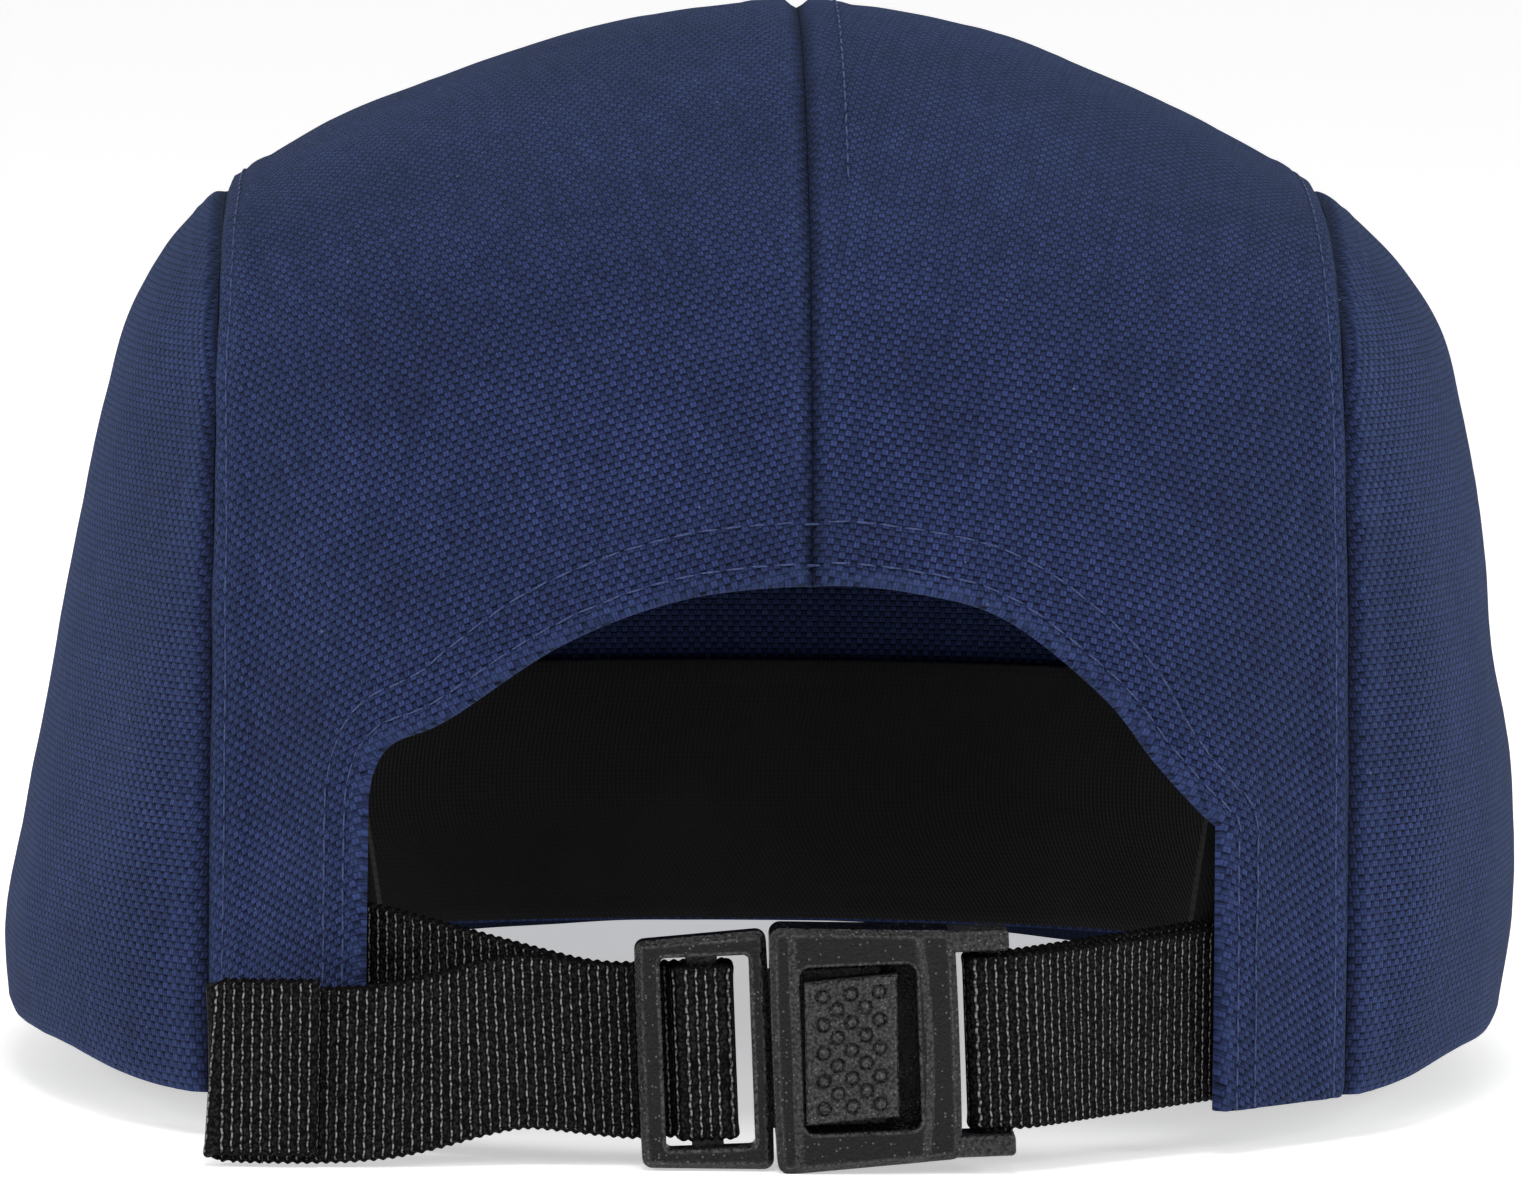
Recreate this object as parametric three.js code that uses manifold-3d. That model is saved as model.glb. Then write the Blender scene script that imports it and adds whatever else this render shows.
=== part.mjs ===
// Canvas jockey cap: five canvas panels, a short curved peak, a sweatband, and a webbing
// strap with a push-button buckle across the arch at the back.
//
// Millimetres, +Z up. The peak points to -Y, the strap lies at +Y, and +X is the wearer's left.
// The cap stands as it does on a table: on the two corners of the peak and on the buckle, with
// its rim a little above the floor. The origin is the middle of the bounding box, on the floor.

import * as THREE from 'three';
import { mergeVertices } from 'three/addons/utils/BufferGeometryUtils.js';
import Module from 'manifold-3d';

// Driving dimensions

// Clearance between two pieces that touch on the real cap, and between two layers of cloth
// that lie along a curve.
const seatGap = 0.3;
const layerGap = 0.5;

const crown = {
  halfWidth: 87.5, // centre to side, at the widest level
  frontReach: 98, // centre to front, at the rim
  backReach: 97, // centre to back, at the rim
  rise: 116.6, // rim to top
  rimHeight: 5, // floor to rim
  wall: 1.8, // canvas with its seam allowance
  seamHalfWidth: 62.5, // middle of the rim to each side seam
  topSeamReach: 42, // centre to the seam between the front and back panels
  columns: 72,
  levels: 17,
};

// Crown profile, from the rim to the top. Each length is a share of the crown's own size. Sway is
// how far a row lies to the wearer's left of the centre-back seam, as a share of the half width.
const crownRows = [
  { height: 0.0, width: 0.968, front: 1.0, back: 0.995, sway: 0.033, squareness: 2.25 },
  { height: 0.129, width: 0.981, front: 0.992, back: 1.0, sway: 0.031, squareness: 2.25 },
  { height: 0.29, width: 0.958, front: 0.972, back: 0.967, sway: 0.022, squareness: 2.28 },
  { height: 0.4655, width: 0.922, front: 0.94, back: 0.91, sway: 0.016, squareness: 2.32 },
  { height: 0.611, width: 0.883, front: 0.905, back: 0.835, sway: 0.014, squareness: 2.36 },
  { height: 0.7085, width: 0.8415, front: 0.868, back: 0.765, sway: 0.016, squareness: 2.38 },
  { height: 0.796, width: 0.749, front: 0.79, back: 0.665, sway: 0.025, squareness: 2.36 },
  { height: 0.8737, width: 0.5905, front: 0.655, back: 0.525, sway: 0.027, squareness: 2.28 },
  { height: 0.937, width: 0.395, front: 0.46, back: 0.365, sway: 0.015, squareness: 2.16 },
  { height: 0.9806, width: 0.2147, front: 0.24, back: 0.185, sway: 0.004, squareness: 2.06 },
  { height: 1.0, width: 0.0, front: 0.0, back: 0.0, sway: 0.002, squareness: 2.0 },
];

// Soft dents and bulges. The angle is measured from +X towards +Y, the level and its spread are
// shares of the rise, and the depth is a share of the half width, with a bulge below zero.
const dents = [
  { angle: 52, level: 0.2, depth: 0.02, angleSpread: 7, levelSpread: 0.2 },
  { angle: 128, level: 0.2, depth: 0.018, angleSpread: 7, levelSpread: 0.2 },
  { angle: 40, level: 0.36, depth: -0.014, angleSpread: 6, levelSpread: 0.25 },
  { angle: 141, level: 0.34, depth: -0.012, angleSpread: 6, levelSpread: 0.25 },
  { angle: 8, level: 0.16, depth: 0.012, angleSpread: 16, levelSpread: 0.07 },
  { angle: 170, level: 0.38, depth: 0.012, angleSpread: 14, levelSpread: 0.08 },
  { angle: 200, level: 0.22, depth: 0.02, angleSpread: 12, levelSpread: 0.12 },
  { angle: 338, level: 0.3, depth: 0.02, angleSpread: 12, levelSpread: 0.14 },
  { angle: 250, level: 0.5, depth: 0.014, angleSpread: 14, levelSpread: 0.14 },
];

const arch = {
  leftReach: 48.3, // centre-back seam to the wearer's left edge
  rightReach: 43.4, // centre-back seam to the wearer's right edge
  rise: 57.4, // rim to the top of the arch
};

// Arch edge from the wearer's left to the right, as shares of that side's reach and of the rise.
const archRows = [
  { across: 1.0, rise: 0.58 },
  { across: 0.985, rise: 0.64 },
  { across: 0.94, rise: 0.69 },
  { across: 0.82, rise: 0.737 },
  { across: 0.56, rise: 0.884 },
  { across: 0.29, rise: 0.972 },
  { across: 0.0, rise: 1.0 },
  { across: -0.24, rise: 0.988 },
  { across: -0.47, rise: 0.937 },
  { across: -0.71, rise: 0.792 },
  { across: -0.84, rise: 0.668 },
  { across: -0.95, rise: 0.575 },
  { across: -1.0, rise: 0.54 },
];

const webbing = {
  width: 19,
  thickness: 1.4,
  edgeRound: 0.35,
  turnFillet: 1.1, // how tightly it turns round a bar
};

const band = {
  height: 33, // rim to the band's top edge
  thickness: 1.4,
  rimInset: 0.6, // rim to the band's lower edge
  showsLeft: 2.6, // how far the band's ends show past the arch edges
  showsRight: 3.2,
  endSlope: 0.24, // how much the band's ends lean back towards the top
  slack: 1.5, // spare room behind the band's ends, beside the two layers of webbing
  rampDegrees: 26, // where the band steps in to make room for the webbing
  columns: 60,
};

const peak = {
  length: 66, // front rim to the tip
  halfWidth: 77.5,
  thickness: 3.2,
  rootAbove: 1.4, // rim to the peak's middle plane, at the front
  tipDrop: 2.6,
  rootDegrees: 52, // half the angle that the peak's root takes along the rim
  edgeRound: 0.9,
  columns: 36,
  rows: 7,
};

const buckle = {
  planeY: 94.5, // middle plane of the moulding
  junctionX: 4.2, // where the two halves meet
  halfGap: 0.2, // half the visible gap between the halves
  turnDegrees: 2.6, // the wearer's left end hangs lower
  bevel: 0.7,
};

const adjuster = {
  length: 14.2,
  thickness: 4.2,
  innerHeight: 25.6, // at the junction
  outerHeight: 24.4, // at the strap end
  windowHeight: 20.6,
  strapRail: 2.6, // width of the rail at the strap end
  joinRail: 1.9, // width of the rail at the junction
  barWidth: 3.4,
  barThickness: 1.5,
  barSetBack: 0.4, // the bar lies this far behind the middle plane
  railSetBack: 0.9, // the strap rail is cut back behind by this much
};

const tongue = {
  length: 12.2,
  height: 17,
  thickness: 1.8,
  padLength: 9.6,
  padHeight: 15.2,
  padFromJunction: 4.1,
  padStandsProud: 0.5,
  padTurnDegrees: 3,
};

const socket = {
  length: 19.8,
  thickness: 8.4,
  innerHeight: 26.4, // at the junction
  outerHeight: 24.6, // at the arms
  frontWall: 1.6,
  backWall: 1.5,
  windowLength: 12.4,
  windowHeight: 17.8,
  windowFromJunction: 3.2,
  cavityHeight: 20.4,
  cavityLength: 16.4,
  cornerRound: 1.2,
  slot: 0.8, // gap that shows between the body and the webbing on the bar
  armPastBar: 0.9,
  armThickness: 5,
  armHeight: 2,
  barWidth: 2.4,
  barThickness: 1.8,
};

// How the two straps lie. Heights are from the rim to the middle of the webbing.
const longStrapLie = {
  anchorX: 58, // hidden end, sewn between shell and band
  backAtArch: 12.8, // where the back layer passes the arch edge
  hem: 10.5,
};

// The free end over the shell. Across is a share of the arch's left reach, height is a share of
// the rim's height above the floor, standOff is the distance from the shell to the webbing's
// middle, and lean is in degrees.
const longStrapRows = [
  { across: 0.64, height: 1.75, standOff: -1.2, lean: 0 },
  { across: 0.74, height: 1.55, standOff: 0.2, lean: 2 },
  { across: 0.83, height: 1.28, standOff: 1.5, lean: 5 },
  { across: 0.92, height: 1.08, standOff: 2.3, lean: 8 },
  { across: 1.02, height: 0.98, standOff: 2.8, lean: 10 },
  { across: 1.14, height: 0.95, standOff: 3.4, lean: 10 },
  { across: 1.25, height: 0.95, standOff: 4.2, lean: 9 },
  { across: 1.34, height: 0.95, standOff: 5.2, lean: 8 },
];

const shortStrapLie = {
  anchorX: -54,
  frontAtArch: 10.4,
  backAtArch: 11,
};

// Small helpers

const wasm = await Module();
wasm.setup();

const radians = THREE.MathUtils.degToRad;

// Reads one column of a table of rows at a place between 0 and 1, along a smooth curve.
function readRows(rows, column, place, mirrorEnd) {
  const last = rows.length - 1;
  const at = THREE.MathUtils.clamp(place, 0, 1) * last;
  const index = Math.min(Math.floor(at), last - 1);
  const share = at - index;
  const value = (i) => {
    if (i < 0) {
      return 2 * rows[0][column] - rows[1][column];
    }
    if (i > last) {
      return mirrorEnd * rows[last - 1][column];
    }
    return rows[i][column];
  };
  const [a, b, c, d] = [value(index - 1), value(index), value(index + 1), value(index + 2)];
  const bend = (c - a) / 2;
  const nextBend = (d - b) / 2;
  const cube = 2 * b - 2 * c + bend + nextBend;
  const square = 3 * (c - b) - 2 * bend - nextBend;
  return ((cube * share + square) * share + bend) * share + b;
}

// Skins a row of closed rings of points. A ring of one point closes that end, and a longer ring
// at an end is closed by a flat fan round its middle.
function loft(rings) {
  const positions = [];
  const starts = [];
  const addPoint = (point) => {
    positions.push(point.x, point.y, point.z);
    return positions.length / 3 - 1;
  };
  for (const ring of rings) {
    starts.push(positions.length / 3);
    ring.forEach(addPoint);
  }
  const faces = [];
  for (let i = 0; i + 1 < rings.length; i += 1) {
    const here = rings[i].length;
    const next = rings[i + 1].length;
    const count = Math.max(here, next);
    for (let j = 0; j < count; j += 1) {
      const k = (j + 1) % count;
      if (here > 1) {
        faces.push(starts[i] + j, starts[i] + k, starts[i + 1] + (next > 1 ? j : 0));
      }
      if (next > 1) {
        faces.push(starts[i] + (here > 1 ? k : 0), starts[i + 1] + k, starts[i + 1] + j);
      }
    }
  }
  const closeEnd = (ring, start, reverse) => {
    if (ring.length === 1) {
      return;
    }
    const middle = ring.reduce((sum, point) => sum.add(point), new THREE.Vector3());
    const hub = addPoint(middle.divideScalar(ring.length));
    for (let j = 0; j < ring.length; j += 1) {
      const k = (j + 1) % ring.length;
      faces.push(hub, start + (reverse ? k : j), start + (reverse ? j : k));
    }
  };
  closeEnd(rings[0], starts[0], true);
  closeEnd(rings[rings.length - 1], starts[rings.length - 1], false);
  const geometry = new THREE.BufferGeometry();
  geometry.setAttribute('position', new THREE.Float32BufferAttribute(positions, 3));
  geometry.setIndex(faces);
  return geometry;
}

// Turns a closed geometry into a solid that can be joined and cut.
function solid(geometry) {
  const bare = geometry.clone();
  bare.deleteAttribute('normal');
  bare.deleteAttribute('uv');
  const merged = mergeVertices(bare, 1e-4);
  const index = merged.index.array;
  const kept = [];
  for (let i = 0; i < index.length; i += 3) {
    const [a, b, c] = [index[i], index[i + 1], index[i + 2]];
    if (a !== b && b !== c && c !== a) {
      kept.push(a, b, c);
    }
  }
  const mesh = new wasm.Mesh({
    numProp: 3,
    vertProperties: new Float32Array(merged.attributes.position.array),
    triVerts: new Uint32Array(kept),
  });
  const made = new wasm.Manifold(mesh);
  return made.volume() < 0 ? solid(flipped(geometry)) : made;
}

function flipped(geometry) {
  const turned = geometry.index ? geometry.clone() : mergeVertices(geometry);
  const index = turned.index.array;
  for (let i = 0; i < index.length; i += 3) {
    [index[i], index[i + 1]] = [index[i + 1], index[i]];
  }
  return turned;
}

function geometryOf(made) {
  const mesh = made.getMesh();
  const geometry = new THREE.BufferGeometry();
  const points = Float32Array.from(mesh.vertProperties);
  geometry.setAttribute('position', new THREE.BufferAttribute(points, 3));
  geometry.setIndex(new THREE.BufferAttribute(Uint32Array.from(mesh.triVerts), 1));
  geometry.computeVertexNormals();
  return geometry;
}

// An outline in the XZ plane, extruded along Y from near to far.
function prismAlongY(shape, near, far, bevel = 0) {
  const geometry = new THREE.ExtrudeGeometry(shape, {
    depth: far - near - 2 * bevel,
    bevelEnabled: bevel > 0,
    bevelThickness: bevel,
    bevelSize: bevel,
    bevelOffset: -bevel,
    bevelSegments: 2,
    curveSegments: 5,
  });
  geometry.rotateX(Math.PI / 2);
  geometry.translate(0, far - bevel, 0);
  return geometry;
}

// An outline in the XY plane, extruded up from the bottom to the top.
function prismAlongZ(shape, bottom, top) {
  const geometry = new THREE.ExtrudeGeometry(shape, { depth: top - bottom, bevelEnabled: false });
  geometry.translate(0, 0, bottom);
  return geometry;
}

function shapeOf(points) {
  return new THREE.Shape(points.map(([x, y]) => new THREE.Vector2(x, y)));
}

// A four-sided outline with rounded corners, between two ends of different height.
function taperedShape(fromX, fromHeight, toX, toHeight, round) {
  const corners = [
    new THREE.Vector2(fromX, -fromHeight / 2),
    new THREE.Vector2(toX, -toHeight / 2),
    new THREE.Vector2(toX, toHeight / 2),
    new THREE.Vector2(fromX, fromHeight / 2),
  ];
  const shape = new THREE.Shape();
  corners.forEach((corner, i) => {
    const before = corners[(i + 3) % 4].clone().sub(corner).setLength(round).add(corner);
    const after = corners[(i + 1) % 4].clone().sub(corner).setLength(round).add(corner);
    if (i === 0) {
      shape.moveTo(before.x, before.y);
    } else {
      shape.lineTo(before.x, before.y);
    }
    shape.quadraticCurveTo(corner.x, corner.y, after.x, after.y);
  });
  shape.closePath();
  return shape;
}

// Crown surface

// The middle of the rim, to the wearer's left of the centre-back seam.
const rimMiddle = crownRows[0].sway * crown.halfWidth;

// The outer surface, at an angle from +X towards +Y and at a place from the rim to the top.
function crownPoint(angle, place) {
  const height = readRows(crownRows, 'height', place, 1);
  const width = readRows(crownRows, 'width', place, -1) * crown.halfWidth;
  const squareness = readRows(crownRows, 'squareness', place, 1);
  const behind = Math.sin(angle) > 0;
  const share = readRows(crownRows, behind ? 'back' : 'front', place, -1);
  const reach = share * (behind ? crown.backReach : crown.frontReach);
  const sway = readRows(crownRows, 'sway', place, 1) * crown.halfWidth;
  if (width < 1e-6) {
    return new THREE.Vector3(sway, 0, crown.rimHeight + height * crown.rise);
  }
  const across = Math.abs(Math.cos(angle) / width) ** squareness;
  const along = Math.abs(Math.sin(angle) / reach) ** squareness;
  const radius = (across + along) ** (-1 / squareness);
  const sunk = radius - dentDepth(angle, height);
  return new THREE.Vector3(
    sway + sunk * Math.cos(angle),
    sunk * Math.sin(angle),
    crown.rimHeight + height * crown.rise,
  );
}

function dentDepth(angle, height) {
  let depth = 0;
  for (const dent of dents) {
    const turn = Math.atan2(
      Math.sin(angle - radians(dent.angle)),
      Math.cos(angle - radians(dent.angle)),
    );
    const across = turn / radians(dent.angleSpread);
    const up = (height - dent.level) / dent.levelSpread;
    depth += dent.depth * crown.halfWidth * Math.exp(-across * across - up * up);
  }
  return depth;
}

// The same surface moved inwards by a depth along its normal. A negative depth moves it out.
function crownInset(angle, place, depth) {
  const step = 1e-3;
  const point = crownPoint(angle, place);
  if (place > 1 - step) {
    return point.setZ(point.z - depth);
  }
  const round = crownPoint(angle + step, place).sub(crownPoint(angle - step, place));
  const up = crownPoint(angle, place + step).sub(crownPoint(angle, Math.max(place - step, 0)));
  const normal = round.cross(up).normalize();
  return point.addScaledVector(normal, -depth);
}

// The place along the profile that lies at a height above the rim.
function placeAtHeight(height) {
  let low = 0;
  let high = 1;
  for (let i = 0; i < 30; i += 1) {
    const middle = (low + high) / 2;
    if (readRows(crownRows, 'height', middle, 1) * crown.rise < height) {
      low = middle;
    } else {
      high = middle;
    }
  }
  return (low + high) / 2;
}

// The angle at which the back of the crown passes over an X, at one height and depth.
function angleAtX(x, height, depth) {
  const place = placeAtHeight(height);
  let low = 0;
  let high = Math.PI;
  for (let i = 0; i < 30; i += 1) {
    const middle = (low + high) / 2;
    if (crownInset(middle, place, depth).x > x) {
      low = middle;
    } else {
      high = middle;
    }
  }
  return (low + high) / 2;
}

// The point of the back of the crown over an X, at one height above the rim and one depth.
function backPoint(x, height, depth) {
  return crownInset(angleAtX(x, height, depth), placeAtHeight(height), depth);
}

// A point over an X that clears the back of the crown by a depth over the webbing's whole
// width: inside it for a positive depth, outside it for a negative one.
function strapPoint(x, height, depth) {
  const heights = [-1, 0, 1].map((side) => Math.max(0, height + (side * webbing.width) / 2));
  const ys = heights.map((level) => backPoint(x, level, depth).y);
  const y = depth > 0 ? Math.min(...ys) : Math.max(...ys);
  return new THREE.Vector3(x, y, crown.rimHeight + height);
}

function crownShell() {
  const rings = [[crownInset(0, 1, 0)]];
  const ringAt = (place, depth) => {
    const ring = [];
    for (let i = 0; i < crown.columns; i += 1) {
      ring.push(crownInset((i / crown.columns) * 2 * Math.PI, place, depth));
    }
    return ring;
  };
  for (let level = crown.levels - 1; level >= 0; level -= 1) {
    rings.push(ringAt(level / crown.levels, 0));
  }
  const flatRim = ringAt(0, crown.wall);
  flatRim.forEach((point) => point.setZ(crown.rimHeight));
  rings.push(flatRim);
  for (let level = 1; level < crown.levels; level += 1) {
    rings.push(ringAt(level / crown.levels, crown.wall));
  }
  rings.push([crownInset(0, 1, crown.wall)]);
  return solid(loft(rings));
}

// The arch edge, from the wearer's left to the right, in X and height above the floor.
function archEdge() {
  const points = archRows.map((row) => {
    const reach = row.across > 0 ? arch.leftReach : arch.rightReach;
    return new THREE.Vector2(row.across * reach, crown.rimHeight + row.rise * arch.rise);
  });
  return new THREE.SplineCurve(points).getPoints(3 * archRows.length);
}

function archCutter() {
  const below = crown.rimHeight - arch.rise;
  const outline = archEdge().map((point) => [point.x, point.y]);
  outline.push([-arch.rightReach, below], [arch.leftReach, below]);
  return solid(prismAlongY(shapeOf(outline), 0, 2 * crown.backReach));
}

// Each panel is the part of the shell that stands over its own stretch of the plan.
function panel(shell, corners) {
  const region = prismAlongZ(shapeOf(corners), -crown.rimHeight, 2 * crown.rise);
  return shell.intersect(solid(region));
}

function crownPanels() {
  const shell = crownShell();
  const open = shell.subtract(archCutter());
  const far = 2 * crown.backReach;
  const left = rimMiddle + crown.seamHalfWidth;
  const right = rimMiddle - crown.seamHalfWidth;
  const half = seatGap / 2;
  const lateral = -crown.topSeamReach;
  const between = (fromX, toX, fromY, toY) => [
    [fromX, fromY],
    [toX, fromY],
    [toX, toY],
    [fromX, toY],
  ];
  return {
    front_panel: panel(shell, between(right + half, left - half, -far, lateral - half)),
    side_panel_left: panel(open, between(left + half, far, -far, far)),
    side_panel_right: panel(open, between(-far, right - half, -far, far)),
    back_panel_left: panel(open, between(half, left - half, lateral + half, far)),
    back_panel_right: panel(open, between(right + half, -half, lateral + half, far)),
  };
}

// Sweatband

// How deep the band lies, so that two layers of webbing fit behind it next to the arch.
function bandDepth(angle) {
  const behindShell = crown.wall + layerGap;
  const strapRoom = 2 * (webbing.thickness + layerGap) + band.slack;
  const turn = Math.abs(Math.atan2(Math.sin(angle - Math.PI / 2), Math.cos(angle - Math.PI / 2)));
  const start = radians(band.rampDegrees) + radians(26);
  const share = THREE.MathUtils.smoothstep(turn, start, start + radians(band.rampDegrees));
  return behindShell + strapRoom * (1 - share);
}

function sweatband() {
  const bottom = placeAtHeight(band.rimInset);
  const top = placeAtHeight(band.height);
  const middle = (bottom + top) / 2;
  const from = angleAtX(-arch.rightReach + 2 * band.showsRight, band.height / 2, 0);
  const to = angleAtX(arch.leftReach - 2 * band.showsLeft, band.height / 2, 0) + 2 * Math.PI;
  const rings = [];
  for (let i = 0; i <= band.columns; i += 1) {
    const angle = from + ((to - from) * i) / band.columns;
    const depth = bandDepth(angle);
    const inner = depth + band.thickness;
    rings.push([
      crownInset(angle, bottom, depth),
      crownInset(angle, middle, depth),
      crownInset(angle, top, depth),
      crownInset(angle, top, inner),
      crownInset(angle, middle, inner),
      crownInset(angle, bottom, inner),
    ]);
  }
  const low = crown.rimHeight - band.height;
  const high = crown.rimHeight + 2 * band.height;
  const lean = band.endSlope * band.height;
  const left = arch.leftReach - band.showsLeft;
  const right = -arch.rightReach + band.showsRight;
  const between = [
    [left - lean, low],
    [left + lean, high],
    [right - lean, high],
    [right + lean, low],
  ];
  const gap = solid(prismAlongY(shapeOf(between), 0, 2 * crown.backReach));
  return solid(loft(rings)).subtract(gap);
}

// Peak

// The peak's root follows the front rim, and its outer edge is half an ellipse.
function peakPlan(share) {
  const turn = radians(peak.rootDegrees) * (2 * share - 1);
  const root = crownInset(-Math.PI / 2 + turn, 0, -seatGap);
  const corner = crownInset(-Math.PI / 2 + radians(peak.rootDegrees), 0, -seatGap);
  const sweep = (Math.PI / 2) * (2 * share - 1);
  const reach = crown.frontReach + seatGap + peak.length + corner.y;
  const outer = new THREE.Vector3(
    rimMiddle + peak.halfWidth * Math.sin(sweep),
    corner.y - reach * Math.cos(sweep),
    0,
  );
  return { root: root.setZ(0), outer };
}

// How far the middle plane drops for each unit of its curve, so that the corners just stand on
// the floor.
function peakCurve() {
  const rootZ = crown.rimHeight + peak.rootAbove;
  let curve = Infinity;
  for (let i = 0; i <= peak.columns; i += 1) {
    const { root, outer } = peakPlan(i / peak.columns);
    for (let j = 0; j <= peak.rows; j += 1) {
      const point = root.clone().lerp(outer, j / peak.rows);
      const across = ((point.x - rimMiddle) / peak.halfWidth) ** 2;
      const spare = rootZ - peak.thickness / 2 - tipFall(point);
      if (across > 0.05) {
        curve = Math.min(curve, spare / across);
      }
    }
  }
  return curve;
}

function tipFall(point) {
  const forward = Math.max(0, -point.y - crown.frontReach) / peak.length;
  return peak.tipDrop * forward * forward;
}

function peakBoard() {
  const curve = peakCurve();
  const heightAt = (point) => {
    const across = (point.x - rimMiddle) / peak.halfWidth;
    return crown.rimHeight + peak.rootAbove - curve * across * across - tipFall(point);
  };
  const rings = [];
  const half = peak.thickness / 2;
  const edge = half - peak.edgeRound;
  for (let i = 0; i <= peak.columns; i += 1) {
    const { root, outer } = peakPlan(i / peak.columns);
    const span = root.distanceTo(outer);
    const inset = Math.min(peak.edgeRound / span, 0.25);
    const at = (share, rise) => {
      const point = root.clone().lerp(outer, share);
      return point.setZ(heightAt(point) + rise);
    };
    const ring = [];
    for (let j = 0; j <= peak.rows; j += 1) {
      ring.push(at((1 - inset) * (j / peak.rows), half));
    }
    ring.push(at(1, edge), at(1, -edge));
    for (let j = peak.rows; j >= 0; j -= 1) {
      ring.push(at((1 - inset) * (j / peak.rows), -half));
    }
    rings.push(ring);
  }
  return solid(loft(rings));
}

// Buckle. Its halves are drawn upright round the buckle's own middle, and turned into place.

// The height of the buckle's middle that lets its lowest corner touch the floor.
function buckleHeight() {
  const turn = radians(buckle.turnDegrees);
  const corners = [
    { along: adjuster.length, down: adjuster.outerHeight / 2 },
    { along: buckle.halfGap, down: adjuster.innerHeight / 2 },
    { along: -buckle.halfGap, down: socket.innerHeight / 2 },
  ];
  const drops = corners.map(({ along, down }) => along * Math.sin(turn) + down * Math.cos(turn));
  return Math.max(...drops);
}

function placeBuckle(made) {
  const geometry = geometryOf(made);
  geometry.rotateY(radians(buckle.turnDegrees));
  geometry.translate(buckle.junctionX, buckle.planeY, buckleHeight());
  return geometry;
}

// A point of the buckle's own drawing, as it lies on the cap.
function onBuckle(along, depth) {
  const point = new THREE.Vector3(along, depth, 0);
  point.applyAxisAngle(new THREE.Vector3(0, 1, 0), radians(buckle.turnDegrees));
  return point.add(new THREE.Vector3(buckle.junctionX, buckle.planeY, buckleHeight()));
}

// X of the adjuster's bar, from the junction.
function adjusterBarX() {
  const windowEnd = adjuster.length - adjuster.strapRail;
  const slot = webbing.thickness + 2 * seatGap + 0.5 * adjuster.barThickness;
  return windowEnd - slot - adjuster.barWidth / 2;
}

// X of the socket's end bar, from the junction, on the far side.
function socketBarX() {
  return -(socket.length + socket.slot + webbing.thickness + seatGap + socket.barWidth / 2);
}

function buckleTongue() {
  const half = adjuster.thickness / 2;
  const start = buckle.halfGap;
  const outline = taperedShape(
    start,
    adjuster.innerHeight,
    adjuster.length,
    adjuster.outerHeight,
    1.6,
  );
  const opening = taperedShape(
    start + adjuster.joinRail,
    adjuster.windowHeight,
    adjuster.length - adjuster.strapRail,
    adjuster.windowHeight,
    0.6,
  );
  let made = solid(prismAlongY(outline, -half, half, buckle.bevel));
  made = made.subtract(solid(prismAlongY(opening, -adjuster.thickness, adjuster.thickness)));
  const recess = new THREE.BoxGeometry(
    2 * adjuster.strapRail,
    2 * adjuster.railSetBack,
    webbing.width + 4 * seatGap,
  );
  recess.translate(adjuster.length, -half, 0);
  made = made.subtract(solid(recess));
  const bar = new THREE.BoxGeometry(
    adjuster.barWidth,
    adjuster.barThickness,
    (adjuster.windowHeight + adjuster.innerHeight) / 2,
  );
  bar.translate(adjusterBarX(), -adjuster.barSetBack, 0);
  made = made.add(solid(bar));
  const plate = new THREE.BoxGeometry(
    tongue.length + adjuster.joinRail,
    tongue.thickness,
    tongue.height,
  );
  plate.translate((adjuster.joinRail - tongue.length) / 2 + start, 0, 0);
  made = made.add(solid(plate));
  return made.add(pushPad());
}

// The pad stands on the tongue and shows in the socket's window.
function pushPad() {
  const front = socket.thickness / 2 + tongue.padStandsProud;
  const outline = taperedShape(
    -tongue.padLength / 2,
    tongue.padHeight,
    tongue.padLength / 2,
    tongue.padHeight,
    0.4,
  );
  const geometry = prismAlongY(outline, 0, front, 0);
  geometry.rotateY(radians(tongue.padTurnDegrees));
  geometry.translate(-tongue.padFromJunction - tongue.padLength / 2, 0, 0);
  return solid(geometry);
}

function buckleSocket() {
  const half = socket.thickness / 2;
  const start = -buckle.halfGap;
  const body = taperedShape(
    -socket.length,
    socket.outerHeight,
    start,
    socket.innerHeight,
    socket.cornerRound,
  );
  let made = solid(prismAlongY(body, -half, half, buckle.bevel));
  const cavity = new THREE.BoxGeometry(
    2 * socket.cavityLength,
    socket.thickness - socket.frontWall - socket.backWall,
    socket.cavityHeight,
  );
  cavity.translate(0, (socket.backWall - socket.frontWall) / 2, 0);
  made = made.subtract(solid(cavity));
  const opening = taperedShape(
    -socket.windowFromJunction - socket.windowLength,
    socket.windowHeight,
    -socket.windowFromJunction,
    socket.windowHeight,
    0.9,
  );
  made = made.subtract(solid(prismAlongY(opening, 0, socket.thickness)));
  const armEnd = socketBarX() - socket.barWidth / 2 - socket.armPastBar;
  const armStart = -socket.length + 2 * socket.cornerRound;
  const armZ = webbing.width / 2 + seatGap + socket.armHeight / 2;
  for (const side of [-1, 1]) {
    const arm = new THREE.BoxGeometry(
      armStart - armEnd,
      socket.armThickness,
      socket.armHeight,
    );
    arm.translate((armEnd + armStart) / 2, 0, side * armZ);
    made = made.add(solid(arm));
  }
  const bar = new THREE.BoxGeometry(socket.barWidth, socket.barThickness, 2 * armZ);
  bar.translate(socketBarX(), 0, 0);
  return made.add(solid(bar));
}

// Webbing

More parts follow.
